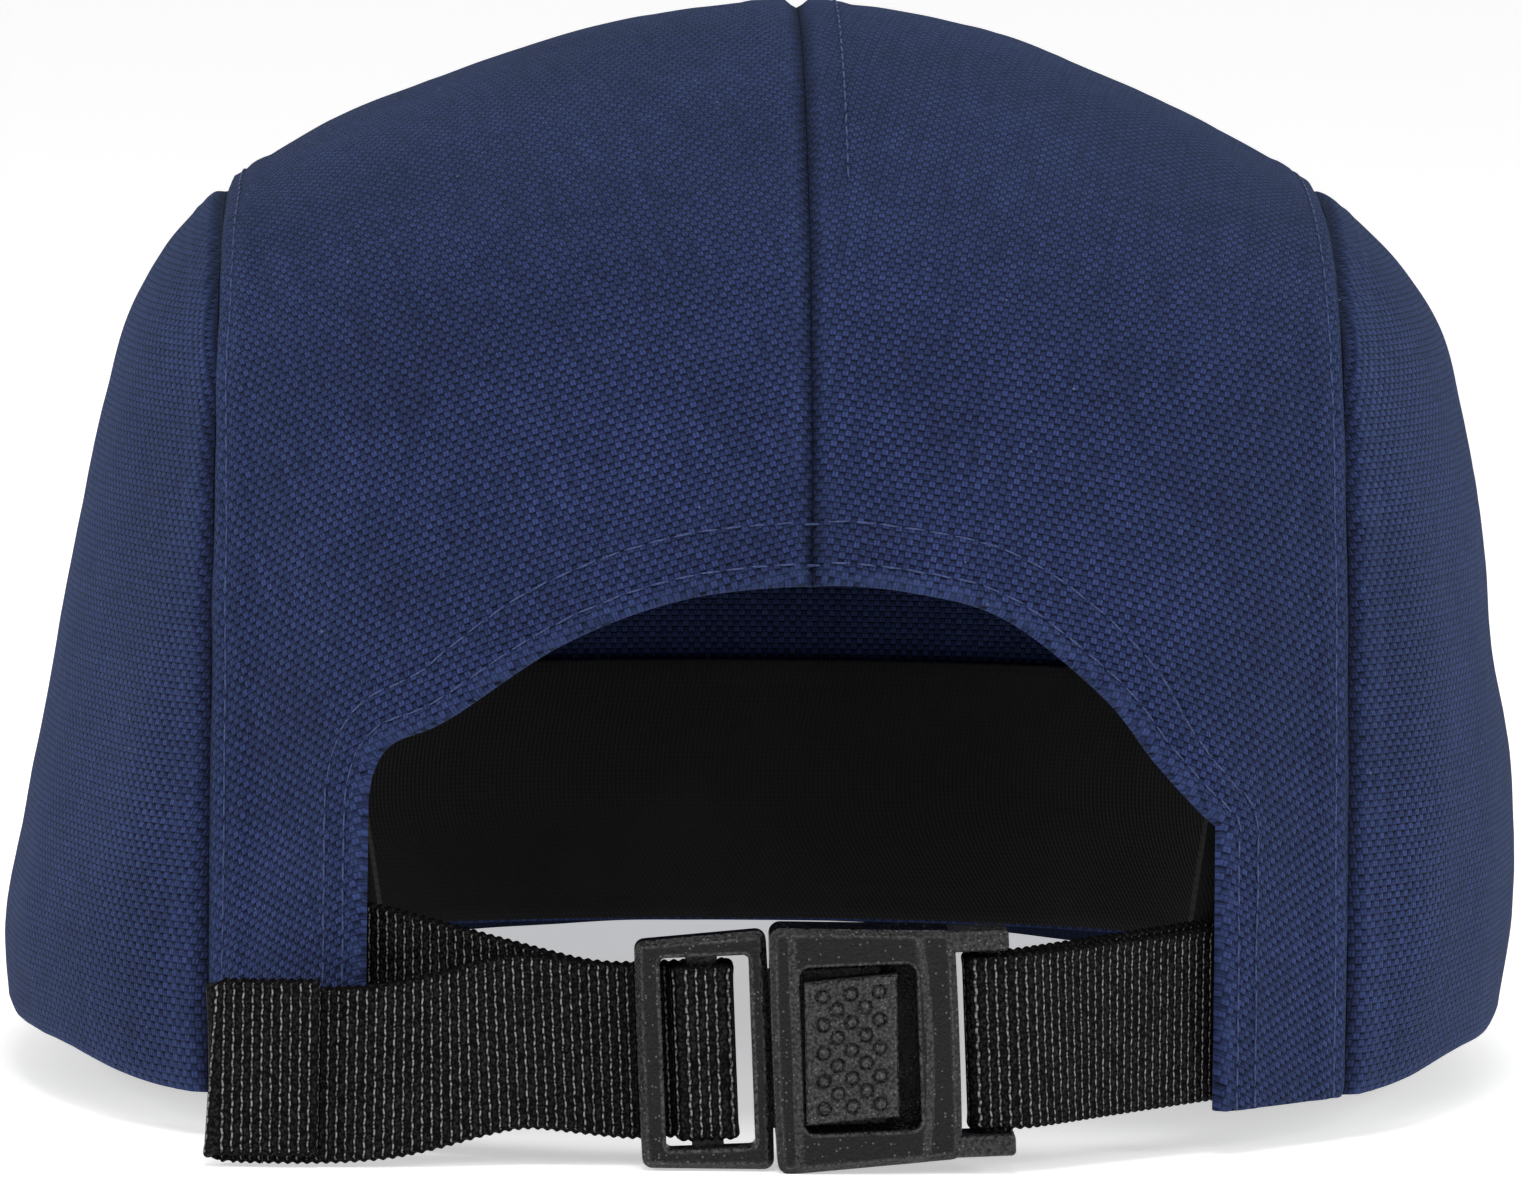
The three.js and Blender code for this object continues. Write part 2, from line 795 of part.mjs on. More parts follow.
// A strap's route in plan with the height of its middle, from a list of stops. A stop with a
// fillet is a rounded corner, and its lean is how far the webbing's lower edge swings out.
function routeStations(stops) {
  const stations = [{ at: stops[0].at, lean: stops[0].lean ?? 0 }];
  for (let i = 1; i < stops.length; i += 1) {
    const corner = stops[i].at;
    const lean = stops[i].lean ?? 0;
    const fillet = stops[i].fillet ?? 0;
    if (i === stops.length - 1 || fillet === 0) {
      stations.push({ at: corner, lean });
    } else {
      const from = stations[stations.length - 1].at;
      const into = from.clone().sub(corner).setLength(fillet).add(corner);
      const out = stops[i + 1].at.clone().sub(corner).setLength(fillet).add(corner);
      const curve = new THREE.QuadraticBezierCurve3(into, corner, out);
      curve.getPoints(4).forEach((at) => stations.push({ at, lean }));
    }
  }
  return stations;
}

// The direction of the webbing's upper edge: square to the buckle near it, upright elsewhere.
function upAt(x) {
  const from = Math.abs(x - buckle.junctionX);
  const near = socket.length + adjuster.length / 2;
  const share = 1 - THREE.MathUtils.smoothstep(from, near, 1.5 * near);
  const turn = radians(buckle.turnDegrees) * share;
  return new THREE.Vector3(Math.sin(turn), 0, Math.cos(turn));
}

// Sweeps the webbing's flat section along its stations.
function ribbon(stations) {
  const halfWidth = webbing.width / 2;
  const halfThick = webbing.thickness / 2;
  const round = webbing.edgeRound;
  const section = [
    [halfThick, halfWidth - round],
    [halfThick - round, halfWidth],
    [round - halfThick, halfWidth],
    [-halfThick, halfWidth - round],
    [-halfThick, round - halfWidth],
    [round - halfThick, -halfWidth],
    [halfThick - round, -halfWidth],
    [halfThick, round - halfWidth],
  ];
  const rings = stations.map(({ at, lean }, i) => {
    const before = stations[Math.max(i - 1, 0)].at;
    const after = stations[Math.min(i + 1, stations.length - 1)].at;
    const into = (i > 0 ? at.clone().sub(before) : after.clone().sub(at)).setZ(0).normalize();
    const out = (after === at ? into.clone() : after.clone().sub(at)).setZ(0).normalize();
    const along = into.clone().add(out).normalize();
    const stretch = 1 / Math.max(0.5, along.dot(into));
    const side = new THREE.Vector3(along.y, -along.x, 0);
    const up = upAt(at.x).applyAxisAngle(along, radians(lean));
    return section.map(([thick, high]) =>
      at.clone().addScaledVector(side, thick * stretch).addScaledVector(up, high),
    );
  });
  return loft(rings);
}

// Points between shell and band, from one X to another, at a height above the rim.
function insideRun(fromX, toX, height, layer) {
  const layerPitch = webbing.thickness + layerGap;
  const depth = crown.wall + layerGap + webbing.thickness / 2 + layer * layerPitch;
  const steps = 4;
  const stops = [];
  for (let i = 0; i <= steps; i += 1) {
    const x = fromX + ((toX - fromX) * i) / steps;
    stops.push({ at: strapPoint(x, height, depth) });
  }
  return stops;
}

// The strap comes out between shell and band, passes behind the adjuster's strap rail, goes
// round its bar from behind, and leaves again behind the rail to lie over the shell.
function longStrap() {
  const lie = longStrapLie;
  const clear = seatGap + webbing.thickness / 2;
  const barX = adjusterBarX();
  const loopX = adjuster.barWidth / 2 + clear;
  const loopFront = adjuster.barThickness / 2 + clear - adjuster.barSetBack;
  const frontLayer = -adjuster.thickness / 2 + adjuster.railSetBack - clear;
  const backLayer = frontLayer - webbing.thickness - seatGap;
  const rail = adjuster.length;
  const stops = insideRun(lie.anchorX, arch.leftReach - 1, lie.backAtArch, 0);
  stops.push(
    { at: onBuckle(rail + 4, backLayer), fillet: 3 },
    { at: onBuckle(barX - loopX, backLayer), fillet: webbing.turnFillet },
    { at: onBuckle(barX - loopX, loopFront), fillet: webbing.turnFillet },
    { at: onBuckle(barX + loopX, loopFront), fillet: webbing.turnFillet },
    { at: onBuckle(barX + loopX, frontLayer), fillet: webbing.turnFillet / 2 },
    { at: onBuckle(rail + 1.5, frontLayer), fillet: 1.2 },
  );
  const over = longStrapRows.map((row) => ({
    at: strapPoint(row.across * arch.leftReach, row.height * crown.rimHeight, -row.standOff),
    lean: row.lean,
  }));
  return ribbon(hemmed(routeStations([...stops, ...over]), lie.hem));
}

// Folds the free end back behind itself over the hem's length.
function hemmed(stations, hem) {
  const end = stations[stations.length - 1];
  const before = stations[stations.length - 2];
  const along = end.at.clone().sub(before.at).setZ(0).normalize();
  const inward = new THREE.Vector3(-along.y, along.x, 0);
  const radius = (webbing.thickness + seatGap) / 2;
  const folded = [45, 90, 135, 180].map((degrees) => {
    const turn = radians(degrees);
    const at = end.at.clone().addScaledVector(along, radius * Math.sin(turn));
    at.addScaledVector(inward, radius * (1 - Math.cos(turn)));
    return { at, lean: end.lean * Math.cos(turn) };
  });
  const tail = folded[folded.length - 1];
  const hemEnd = { at: tail.at.clone().addScaledVector(along, -hem), lean: tail.lean };
  return [...stations, ...folded, hemEnd];
}

// The short strap is doubled, and its loop holds the socket's end bar.
function shortStrap() {
  const lie = shortStrapLie;
  const clear = seatGap + webbing.thickness / 2;
  const loopY = socket.barThickness / 2 + clear;
  const loopX = socket.barWidth / 2 + clear;
  const barX = socketBarX();
  const edge = -arch.rightReach + 1;
  const stops = [
    ...insideRun(lie.anchorX, edge, lie.frontAtArch, 0),
    { at: onBuckle(barX - loopX - 1, loopY), fillet: 2 },
    { at: onBuckle(barX + loopX, loopY), fillet: webbing.turnFillet },
    { at: onBuckle(barX + loopX, -loopY), fillet: webbing.turnFillet },
    { at: onBuckle(barX - loopX - 1, -loopY), fillet: 2 },
    ...insideRun(edge, lie.anchorX, lie.backAtArch, 1),
  ];
  return ribbon(routeStations(stops));
}

// Finishes

const finishes = {
  canvas: { color: '#2c3a66', roughness: 0.92, metalness: 0 },
  webbing: { color: '#222124', roughness: 0.85, metalness: 0 },
  twill: { color: '#151417', roughness: 0.9, metalness: 0 },
  plastic: { color: '#2b2a2c', roughness: 0.55, metalness: 0 },
};

function namedMesh(name, geometry, finish) {
  const mesh = new THREE.Mesh(geometry, new THREE.MeshStandardMaterial(finishes[finish]));
  mesh.name = name;
  return mesh;
}

// Assembly

const cap = new THREE.Group();
for (const [name, made] of Object.entries(crownPanels())) {
  cap.add(namedMesh(name, geometryOf(made), 'canvas'));
}
cap.add(namedMesh('peak', geometryOf(peakBoard()), 'canvas'));
cap.add(namedMesh('sweatband', geometryOf(sweatband()), 'twill'));
cap.add(namedMesh('long_strap', geometryOf(solid(longStrap())), 'webbing'));
cap.add(namedMesh('short_strap', geometryOf(solid(shortStrap())), 'webbing'));
cap.add(namedMesh('buckle_tongue', placeBuckle(buckleTongue()), 'plastic'));
cap.add(namedMesh('buckle_socket', placeBuckle(buckleSocket()), 'plastic'));

const box = new THREE.Box3().setFromObject(cap);
const middle = box.getCenter(new THREE.Vector3());
cap.position.set(-middle.x, -middle.y, -box.min.z);

export default cap;
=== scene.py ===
"""Canvas jockey cap, dressed for the picture: five canvas panels, peak, sweatband, webbing and buckle."""
import logging
import math
from dataclasses import dataclass, field
from enum import Enum
from typing import Callable, Sequence

import bpy
import numpy as np
from mathutils import Matrix, Vector


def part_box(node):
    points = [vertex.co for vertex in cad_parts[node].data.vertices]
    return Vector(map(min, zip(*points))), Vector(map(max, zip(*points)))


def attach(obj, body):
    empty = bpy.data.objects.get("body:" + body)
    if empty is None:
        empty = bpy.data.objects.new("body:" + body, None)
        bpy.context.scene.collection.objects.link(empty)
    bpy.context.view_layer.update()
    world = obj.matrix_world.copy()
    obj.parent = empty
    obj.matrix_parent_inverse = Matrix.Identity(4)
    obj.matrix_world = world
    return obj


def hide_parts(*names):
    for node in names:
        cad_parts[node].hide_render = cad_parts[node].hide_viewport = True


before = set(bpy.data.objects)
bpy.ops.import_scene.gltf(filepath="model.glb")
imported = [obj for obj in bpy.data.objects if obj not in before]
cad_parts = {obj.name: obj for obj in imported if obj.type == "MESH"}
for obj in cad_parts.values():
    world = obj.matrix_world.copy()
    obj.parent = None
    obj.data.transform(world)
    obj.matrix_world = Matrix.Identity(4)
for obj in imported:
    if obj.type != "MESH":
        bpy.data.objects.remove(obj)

log = logging.getLogger("cap")

MM = 0.001
UV_UNIT = 0.1  # a UV unit is a centimetre of cloth
FAR = 99.0  # millimetres, past the reach of any seam
SEAM_PART = 0.03  # half of the slit between two panels, in millimetres
RIM_ROLL, RIM_ROLL_WIDTH = 0.35, 0.5  # how the cloth turns in at the rim, in millimetres
Array = np.ndarray
Colour = tuple[float, float, float, float]
Piece, Material = bpy.types.Object, bpy.types.Material
NodeTree, Node, Socket = bpy.types.NodeTree, bpy.types.Node, bpy.types.NodeSocket
# X and Z of a loop's points, its Y, and how rubbed it is, which lightens it as wear and as painted highlight
LevelLoop = tuple[Array, Array | float, float]
# height, width and seed of soft waves in cloth
Wave = tuple[float, float, int]
# name, kind and value of a node tree's input
Given = tuple[str, str, object]


def smooth(low: float, high: float, value: Array) -> Array:
    """Smooth step from 0 at low to 1 at high."""
    share = np.clip((value - low) / (high - low), 0.0, 1.0)
    return share * share * (3.0 - 2.0 * share)


def bell(distance: Array, width: float) -> Array:
    """Bell curve of 1 at no distance, falling off over a width."""
    return np.exp(-((distance / width) ** 2))


def unit(vectors: Array) -> Array:
    """Vectors along the last axis, brought to length 1."""
    return vectors / np.maximum(np.linalg.norm(vectors, axis=-1, keepdims=True), 1e-12)


def between(a: Array, b: Array, c: Array, d: Array, share: Array) -> Array:
    """Smooth curve from b to c, which comes from a and goes on to d."""
    bend, onward = (c - a) / 2, (d - b) / 2
    cube, square = 2 * b - 2 * c + bend + onward, 3 * (c - b) - 2 * bend - onward
    return ((cube * share + square) * share + bend) * share + b


def ripple(across: Array, along: Array, size: float, seed: int) -> Array:
    """Soft uneven waves between -1 and 1.

    Args:
        across: first coordinate, in millimetres.
        along: second coordinate, in millimetres.
        size: width of one wave, in millimetres.
        seed: fixes the pattern.

    Returns:
        One value for each pair of coordinates.
    """
    grid = np.random.default_rng(seed).uniform(-1.0, 1.0, (64, 64))
    u, v = across / size, along / size
    i, j = np.floor(u).astype(int), np.floor(v).astype(int)
    fu, fv = u - i, v - j
    fu, fv = fu * fu * (3 - 2 * fu), fv * fv * (3 - 2 * fv)

    def at(a: Array, b: Array) -> Array:
        """Grid value, repeated every 64 waves."""
        return grid[a % 64, b % 64]

    low = at(i, j) * (1 - fu) + at(i + 1, j) * fu
    high = at(i, j + 1) * (1 - fu) + at(i + 1, j + 1) * fu
    return low * (1 - fv) + high * fv


def nearest(points: Array, line: Array) -> tuple[Array, Array]:
    """Distance from each point to the nearest point of a dense line, and that point's index."""
    flat = points.reshape(-1, 3)
    distance = np.empty(len(flat))
    index = np.empty(len(flat), int)
    for start in range(0, len(flat), 4000):
        part = flat[start:start + 4000]
        gap = (part**2).sum(1)[:, None] + (line**2).sum(1)[None] - 2 * part @ line.T
        index[start:start + 4000] = gap.argmin(1)
        distance[start:start + 4000] = np.sqrt(np.maximum(gap.min(1), 0))
    return distance.reshape(points.shape[:-1]), index.reshape(points.shape[:-1])


def run_length(line: Array) -> Array:
    """Distance along a line of points, from its first point."""
    steps = np.linalg.norm(np.diff(line, axis=0), axis=-1)
    return np.concatenate([np.zeros((1, *steps.shape[1:])), np.cumsum(steps, axis=0)])


def resample(line: Array, places: Array) -> Array:
    """Points of a line at given distances from its first point."""
    run = run_length(line)
    return np.stack([np.interp(places, run, line[:, k]) for k in range(line.shape[1])], -1)


@dataclass(frozen=True)
class Datum:
    """Where the crown's own centre lies in the shared frame, in millimetres."""

    x: float
    y: float
    z: float

    @classmethod
    def from_frame(cls, crown: "CrownForm") -> "Datum":
        """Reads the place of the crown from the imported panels."""
        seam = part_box("back_panel_left")[0]
        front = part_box("front_panel")[0]
        return cls(
            seam.x / MM - crown.seam_gap / 2,
            front.y / MM + crown.front_reach,
            front.z / MM - crown.rim_height,
        )

    def place(self, points: Array) -> Array:
        """Turns millimetres round the crown's centre into metres of the shared frame."""
        return (np.asarray(points, float) + [self.x, self.y, self.z]) * MM


@dataclass(frozen=True)
class CrownForm:
    """The crown's outer surface, as a table of rows from the rim to the top. Millimetres."""

    half_width: float = 87.5
    front_reach: float = 98.0
    back_reach: float = 97.0
    rise: float = 116.6
    rim_height: float = 5.0
    wall: float = 1.8
    seam_half_width: float = 62.5
    top_seam_reach: float = 42.0
    seam_gap: float = 0.3
    rim_middle: float = 2.8875
    side_rise: float = 2.4
    side_rise_from: float = 28.0
    side_rise_to: float = 48.0
    # height, width, front, back, sway, squareness
    rows: tuple[tuple[float, ...], ...] = (
        (0.0, 0.972, 1.0, 0.995, 0.0484, 2.25),
        (0.129, 0.986, 0.992, 1.0, 0.042, 2.25),
        (0.29, 0.958, 0.972, 0.967, 0.022, 2.28),
        (0.4655, 0.922, 0.94, 0.91, 0.016, 2.32),
        (0.611, 0.883, 0.905, 0.835, 0.014, 2.36),
        (0.7085, 0.8415, 0.868, 0.765, 0.016, 2.38),
        (0.796, 0.749, 0.79, 0.665, 0.025, 2.36),
        (0.8737, 0.5905, 0.655, 0.525, 0.027, 2.28),
        (0.937, 0.395, 0.46, 0.365, 0.015, 2.16),
        (0.9806, 0.2147, 0.24, 0.185, 0.004, 2.06),
        (1.0, 0.0, 0.0, 0.0, 0.002, 2.0),
    )
    # angle, level, depth, angle spread, level spread
    dents: tuple[tuple[float, ...], ...] = (
        (52, 0.2, 0.02, 7, 0.2),
        (128, 0.2, 0.018, 7, 0.2),
        (40, 0.36, -0.014, 6, 0.25),
        (141, 0.34, -0.012, 6, 0.25),
        (8, 0.16, 0.012, 16, 0.07),
        (170, 0.38, 0.012, 14, 0.08),
        (200, 0.22, 0.02, 12, 0.12),
        (338, 0.3, 0.02, 12, 0.14),
        (250, 0.5, 0.014, 14, 0.14),
    )

    def column(self, index: int, place: Array) -> Array:
        """Reads one column of the table along a smooth curve.

        Args:
            index: which column.
            place: from 0 at the rim to 1 at the top.

        Returns:
            The column's value at each place.
        """
        values = np.array([row[index] for row in self.rows])
        turned = -1.0 if index in (1, 2, 3) else 1.0
        padded = np.concatenate([[2 * values[0] - values[1]], values, [turned * values[-2]]])
        at = np.clip(place, 0.0, 1.0) * (len(values) - 1)
        i = np.minimum(at.astype(int), len(values) - 2)
        t = at - i
        return between(padded[i], padded[i + 1], padded[i + 2], padded[i + 3], t)

    def point(self, angle: Array, place: Array) -> Array:
        """Point of the outer surface, at an angle from +X towards +Y and a place up the profile."""
        angle, place = np.broadcast_arrays(np.asarray(angle, float), np.asarray(place, float))
        height = self.column(0, place)
        width = np.maximum(self.column(1, place) * self.half_width, 1e-6)
        behind = np.sin(angle) > 0
        back, front = self.column(3, place) * self.back_reach, self.column(2, place) * self.front_reach
        reach = np.maximum(np.where(behind, back, front), 1e-6)
        power = self.column(5, place)
        across = np.abs(np.cos(angle) / width) ** power
        along = np.abs(np.sin(angle) / reach) ** power
        radius = (across + along) ** (-1 / power)
        for at, level, depth, turn_spread, level_spread in self.dents:
            turn = np.angle(np.exp(1j * (angle - math.radians(at))))
            fall = (turn / math.radians(turn_spread)) ** 2 + ((height - level) / level_spread) ** 2
            radius = radius - depth * self.half_width * np.exp(-fall)
        sway = self.column(4, place) * self.half_width
        aside = np.degrees(np.arcsin(np.clip(np.abs(np.sin(angle)), 0, 1)))
        fade = 1 - smooth(self.side_rise_from, self.side_rise_to, aside)
        rim_rise = self.side_rise * fade * np.maximum(0, 1 - height / 0.35) ** 2
        z = self.rim_height + height * self.rise + rim_rise
        return np.stack([sway + radius * np.cos(angle), radius * np.sin(angle), z], -1)

    def normal(self, angle: Array, place: Array) -> Array:
        """Outward direction of the surface."""
        step = 1e-3
        angle, place = np.broadcast_arrays(np.asarray(angle, float), np.asarray(place, float))
        around = self.point(angle + step, place) - self.point(angle - step, place)
        up = self.point(angle, place + step) - self.point(angle, np.maximum(place - step, 0))
        found = unit(np.cross(around, up))
        return np.where((place > 1 - step)[..., None], np.array([0.0, 0.0, 1.0]), found)

    def inset(self, angle: Array, place: Array, depth: Array | float) -> Array:
        """Surface moved inwards by a depth along its normal."""
        moved = np.asarray(depth, float)
        moved = moved[..., None] if moved.ndim else moved
        return self.point(angle, place) - self.normal(angle, place) * moved

    def place_at(self, height: Array) -> Array:
        """Place along the profile at a height above the rim."""
        places = np.linspace(0, 1, 2001)
        return np.interp(height, self.column(0, places) * self.rise, places)

    def angle_at(self, x: Array, place: Array, depth: float = 0.0, front: bool = False) -> Array:
        """Angle at which the back, or the front, passes over an X."""
        x, place = np.broadcast_arrays(np.asarray(x, float), np.asarray(place, float))
        low, high = np.zeros(x.shape), np.full(x.shape, math.pi)
        for _ in range(34):
            middle = (low + high) / 2
            angle = -middle if front else middle
            found = self.inset(angle, place, depth) if depth else self.point(angle, place)
            beyond = found[..., 0] > x
            low, high = np.where(beyond, middle, low), np.where(beyond, high, middle)
        middle = (low + high) / 2
        return -middle if front else middle

    def back(self, x: Array, height: Array, depth: float = 0.0) -> Array:
        """Point of the back over an X, at a height above the rim and a depth."""
        place = self.place_at(np.asarray(height, float))
        return self.inset(self.angle_at(x, place, depth), place, depth)

    def back_normal(self, x: Array, height: Array) -> Array:
        """Outward direction of the back over an X, at a height above the rim."""
        place = self.place_at(np.asarray(height, float))
        return self.normal(self.angle_at(x, place), place)

    def profiles(self, xs: Array, samples: int = 240) -> Array:
        """Curves of the crown over given X values, from the back rim over the top to the front.

        Args:
            xs: the X of each curve.
            samples: points on each half of a curve.

        Returns:
            Points, first along the curve and then from curve to curve.
        """
        low, high = np.full(len(xs), 0.3), np.ones(len(xs))
        apex = self.rows[-1][4] * self.half_width
        edge = np.where(xs > apex, 0.0, math.pi)
        sign = np.where(xs > apex, 1.0, -1.0)
        for _ in range(40):
            middle = (low + high) / 2
            wide = sign * (self.point(edge, middle)[..., 0] - xs) > 0
            low, high = np.where(wide, middle, low), np.where(wide, high, middle)
        share = 1 - (1 - np.linspace(0, 1, samples)) ** 2
        places = share[:, None] * low[None]
        xs_grid = np.broadcast_to(xs, places.shape)
        behind = self.point(self.angle_at(xs_grid, places), places)
        ahead = self.point(self.angle_at(xs_grid, places, front=True), places)
        joined = np.concatenate([behind, ahead[::-1][1:]])
        joined[..., 0] = xs[None]
        return joined


@dataclass(frozen=True)
class ArchEdge:
    """The arch cut out of the back, from the wearer's left to the right. Millimetres."""

    left_reach: float = 48.3
    right_reach: float = 44.6
    rise: float = 57.4
    rows: tuple[tuple[float, float], ...] = (
        (1.0, 0.58), (0.985, 0.64), (0.94, 0.69), (0.82, 0.737), (0.56, 0.884), (0.29, 0.972),
        (0.0, 1.0), (-0.24, 0.988), (-0.47, 0.937), (-0.71, 0.792), (-0.84, 0.668),
        (-0.95, 0.575), (-1.0, 0.54),
    )

    def line(self, crown: CrownForm, count: int = 400) -> Array:
        """X and height above the floor of points along the arch."""
        stops = np.array([
            (across * (self.left_reach if across > 0 else self.right_reach),
             crown.rim_height + up * self.rise)
            for across, up in self.rows
        ])
        last = len(stops) - 1
        at = np.linspace(0, last, count)
        i = np.minimum(at.astype(int), last - 1)
        t = (at - i)[:, None]
        found = between(
            stops[np.maximum(i - 1, 0)], stops[i], stops[i + 1], stops[np.minimum(i + 2, last)], t
        )
        found[:, 0] = np.minimum.accumulate(found[:, 0])
        return found

    def edge(self, crown: CrownForm, side: float) -> Array:
        """Dense points of one side's edge on the shell: up from the rim, then along the arch.

        Args:
            crown: the surface that the arch is cut from.
            side: +1 for the wearer's left half, -1 for the right half.

        Returns:
            Points from the rim to the centre-back seam.
        """
        arch = self.line(crown)
        arch = arch[arch[:, 0] * side >= 0]
        arch = arch if side > 0 else arch[::-1]
        leg = np.linspace(crown.rim_height, arch[0, 1], 120, endpoint=False)
        xs = np.concatenate([np.full(len(leg), arch[0, 0]), arch[:, 0]])
        zs = np.concatenate([leg, arch[:, 1]])
        found = crown.back(xs, zs - crown.rim_height)
        return resample(found, np.arange(0, run_length(found)[-1], 0.25))


# Meshes


def grid_faces(index: Array) -> Array:
    """Four-cornered faces over a grid of vertex numbers."""
    return np.stack(
        [index[:-1, :-1], index[1:, :-1], index[1:, 1:], index[:-1, 1:]], -1
    ).reshape(-1, 4)


def show(name: str, mesh: bpy.types.ID) -> Piece:
    """Puts a mesh, lamp or camera into the scene."""
    made = bpy.data.objects.new(name, mesh)
    bpy.context.scene.collection.objects.link(made)
    return made


def make_object(
    name: str,
    vertices: Array,
    faces: Sequence[Sequence[int]] | Array,
    uv: Array | None = None,
    attributes: dict[str, Array] | None = None,
    sharp_degrees: float = 50.0,
    material: Material | None = None,
) -> Piece:
    """Makes a mesh object at the origin, with smooth shading.

    Args:
        name: the piece's name.
        vertices: places in metres.
        faces: vertex numbers of each face.
        uv: a UV for each vertex.
        attributes: numbers for each vertex, by name.
        sharp_degrees: edges bent by more than this stay sharp.
        material: the finish, if no node tree gives it.

    Returns:
        The new object, linked to the scene.
    """
    mesh = bpy.data.meshes.new(name)
    mesh.from_pydata(np.asarray(vertices).tolist(), [], np.asarray(faces).tolist()
                     if isinstance(faces, np.ndarray) else faces)
    corners = np.empty(len(mesh.loops), np.int32)
    mesh.loops.foreach_get("vertex_index", corners)
    if uv is not None:
        layer = mesh.uv_layers.new(name="cloth")
        layer.data.foreach_set("uv", uv[corners].astype(np.float32).ravel())
    for key, values in (attributes or {}).items():
        attribute = mesh.attributes.new(key, "FLOAT", "POINT")
        attribute.data.foreach_set("value", np.asarray(values, np.float32).ravel())
    mesh.polygons.foreach_set("use_smooth", np.ones(len(mesh.polygons), bool))
    mesh.validate()
    mesh.update()
    mesh.set_sharp_from_angle(angle=math.radians(sharp_degrees))
    if material is not None:
        mesh.materials.append(material)
    return show(name, mesh)


def closed_shell(outer: Array, inner: Array, faces: Array) -> tuple[Array, Array]:
    """Joins an outer and an inner skin that share their faces, and closes the edges.

    Args:
        outer: outer vertices.
        inner: inner vertices, in the same order.
        faces: four-cornered faces of the outer skin, facing outwards.

    Returns:
        All vertices, and all faces.
    """
    count = len(outer)
    edges = np.stack([faces, np.roll(faces, -1, axis=1)], -1).reshape(-1, 2)
    key = edges[:, 0].astype(np.int64) * count + edges[:, 1]
    back = edges[:, 1].astype(np.int64) * count + edges[:, 0]
    rim = edges[~np.isin(key, back)]
    sides = np.stack([rim[:, 1], rim[:, 0], rim[:, 0] + count, rim[:, 1] + count], -1)
    joined = np.concatenate([faces, faces[:, ::-1] + count, sides])
    return np.concatenate([outer, inner]), joined


def stacked_loops(
    loops: list[Array], close_start: bool, close_end: bool, ring: bool = False,
) -> tuple[Array, list]:
    """Skins a stack of closed loops of equal count.

    Args:
        loops: points of each loop.
        close_start: whether the first loop is capped.
        close_end: whether the last loop is capped.
        ring: whether the last loop joins the first.

    Returns:
        Vertices and faces.
    """
    count = len(loops[0])
    faces: list[list[int]] = []
    pairs = [(k, k + 1) for k in range(len(loops) - 1)]
    if ring:
        pairs.append((len(loops) - 1, 0))
    for here, there in pairs:
        for i in range(count):
            j = (i + 1) % count
            faces.append([here * count + i, here * count + j, there * count + j, there * count + i])
    if close_start:
        faces.append([i for i in range(count)][::-1])
    if close_end:
        start = (len(loops) - 1) * count
        faces.append([start + i for i in range(count)])
    return np.concatenate(loops), faces


# Canvas panels


def rumpled(
    lift: Array, across: Array, along: Array, waves: Sequence[Wave], side: float = 0.0,
) -> Array:
    """Adds soft waves to the lift of cloth.

    Args:
        lift: how far the cloth stands off its plain surface.
        across: first coordinate, in millimetres.
        along: second coordinate, in millimetres.
        waves: the waves to add.
        side: moves the seeds, so that left and right differ.

    Returns:
        The lift with its waves.
    """
    for height, size, seed in waves:
        lift = lift + height * ripple(across, along, size, seed + int(side))
    return lift


class Side(Enum):
    """The wearer's side of the cap."""

    LEFT = 1.0
    RIGHT = -1.0


@dataclass(frozen=True)
class SewnEdge:
    """How cloth lies beside a seam: rolled into it, and raised over the allowances behind it."""

    roll_depth: float = 0.8
    roll_width: float = 0.85
    allowance: float = 6.0
    raised: float = 0.22
    stitch_from_seam: float = 0.0
    stitch_depth: float = 0.22
    stitch_width: float = 0.5

    def lift(self, distance: Array) -> Array:
        """How far the cloth stands off its plain surface at a distance from the seam."""
        lift = -self.roll_depth * bell(distance, self.roll_width)
        lift = lift + self.raised * smooth(0.4, 1.4, distance) * (
            1 - smooth(self.allowance - 1.0, self.allowance + 0.6, distance)
        )
        if self.stitch_from_seam:
            lift = lift - self.stitch_depth * bell(distance - self.stitch_from_seam, self.stitch_width)
        return lift


@dataclass
class ClothSkin:
    """A panel's cloth before it gets its thickness. Millimetres round the crown's centre."""

    points: Array
    normals: Array
    faces: Array
    uv: Array
    lift: Array
    edge_distance: Array
    # How much painted shade falls in the seam grooves.
    seam_shade: Array
    wear: Array

    def finish(self, name: str, node: str, wall: float, datum: Datum, material: Material) -> Piece:
        """Gives the cloth its thickness and hands it to the frame.

        Args:
            name: the piece's name.
            node: the solid that it stands for.
            wall: the cloth's thickness.
            datum: place of the crown in the shared frame.
            material: the finish.

        Returns:
            The finished piece.
        """
        outer = self.points + self.normals * self.lift[:, None]
        thin = RIM_ROLL * bell(self.edge_distance, RIM_ROLL_WIDTH)
        depth = np.maximum(wall - thin, 0.6 + np.maximum(-self.lift, 0))
        inner = self.points - self.normals * depth[:, None]
        vertices, faces = closed_shell(outer, inner, self.faces)
        made = make_object(
            name, datum.place(vertices), faces, np.tile(self.uv * UV_UNIT, (2, 1)),
            {"wear": np.tile(self.wear, 2), "seam_shade": np.tile(self.seam_shade, 2)}, material=material,
        )
        hand_over(made, "canvas", node)
        return made


def hand_over(piece: Piece, slot: str, *nodes: str) -> None:
    """Lets a piece ride on the cap, hides the solids that it stands for, and logs its faces."""
    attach(piece, "root")
    if nodes:
        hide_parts(*nodes)
    log.info("%s: %d faces", piece.name, len(piece.data.polygons))


@dataclass(frozen=True)
class SeamLine:
    """A line on the cloth that a row of stitches follows, with its outward directions."""

    points: Array
    normals: Array


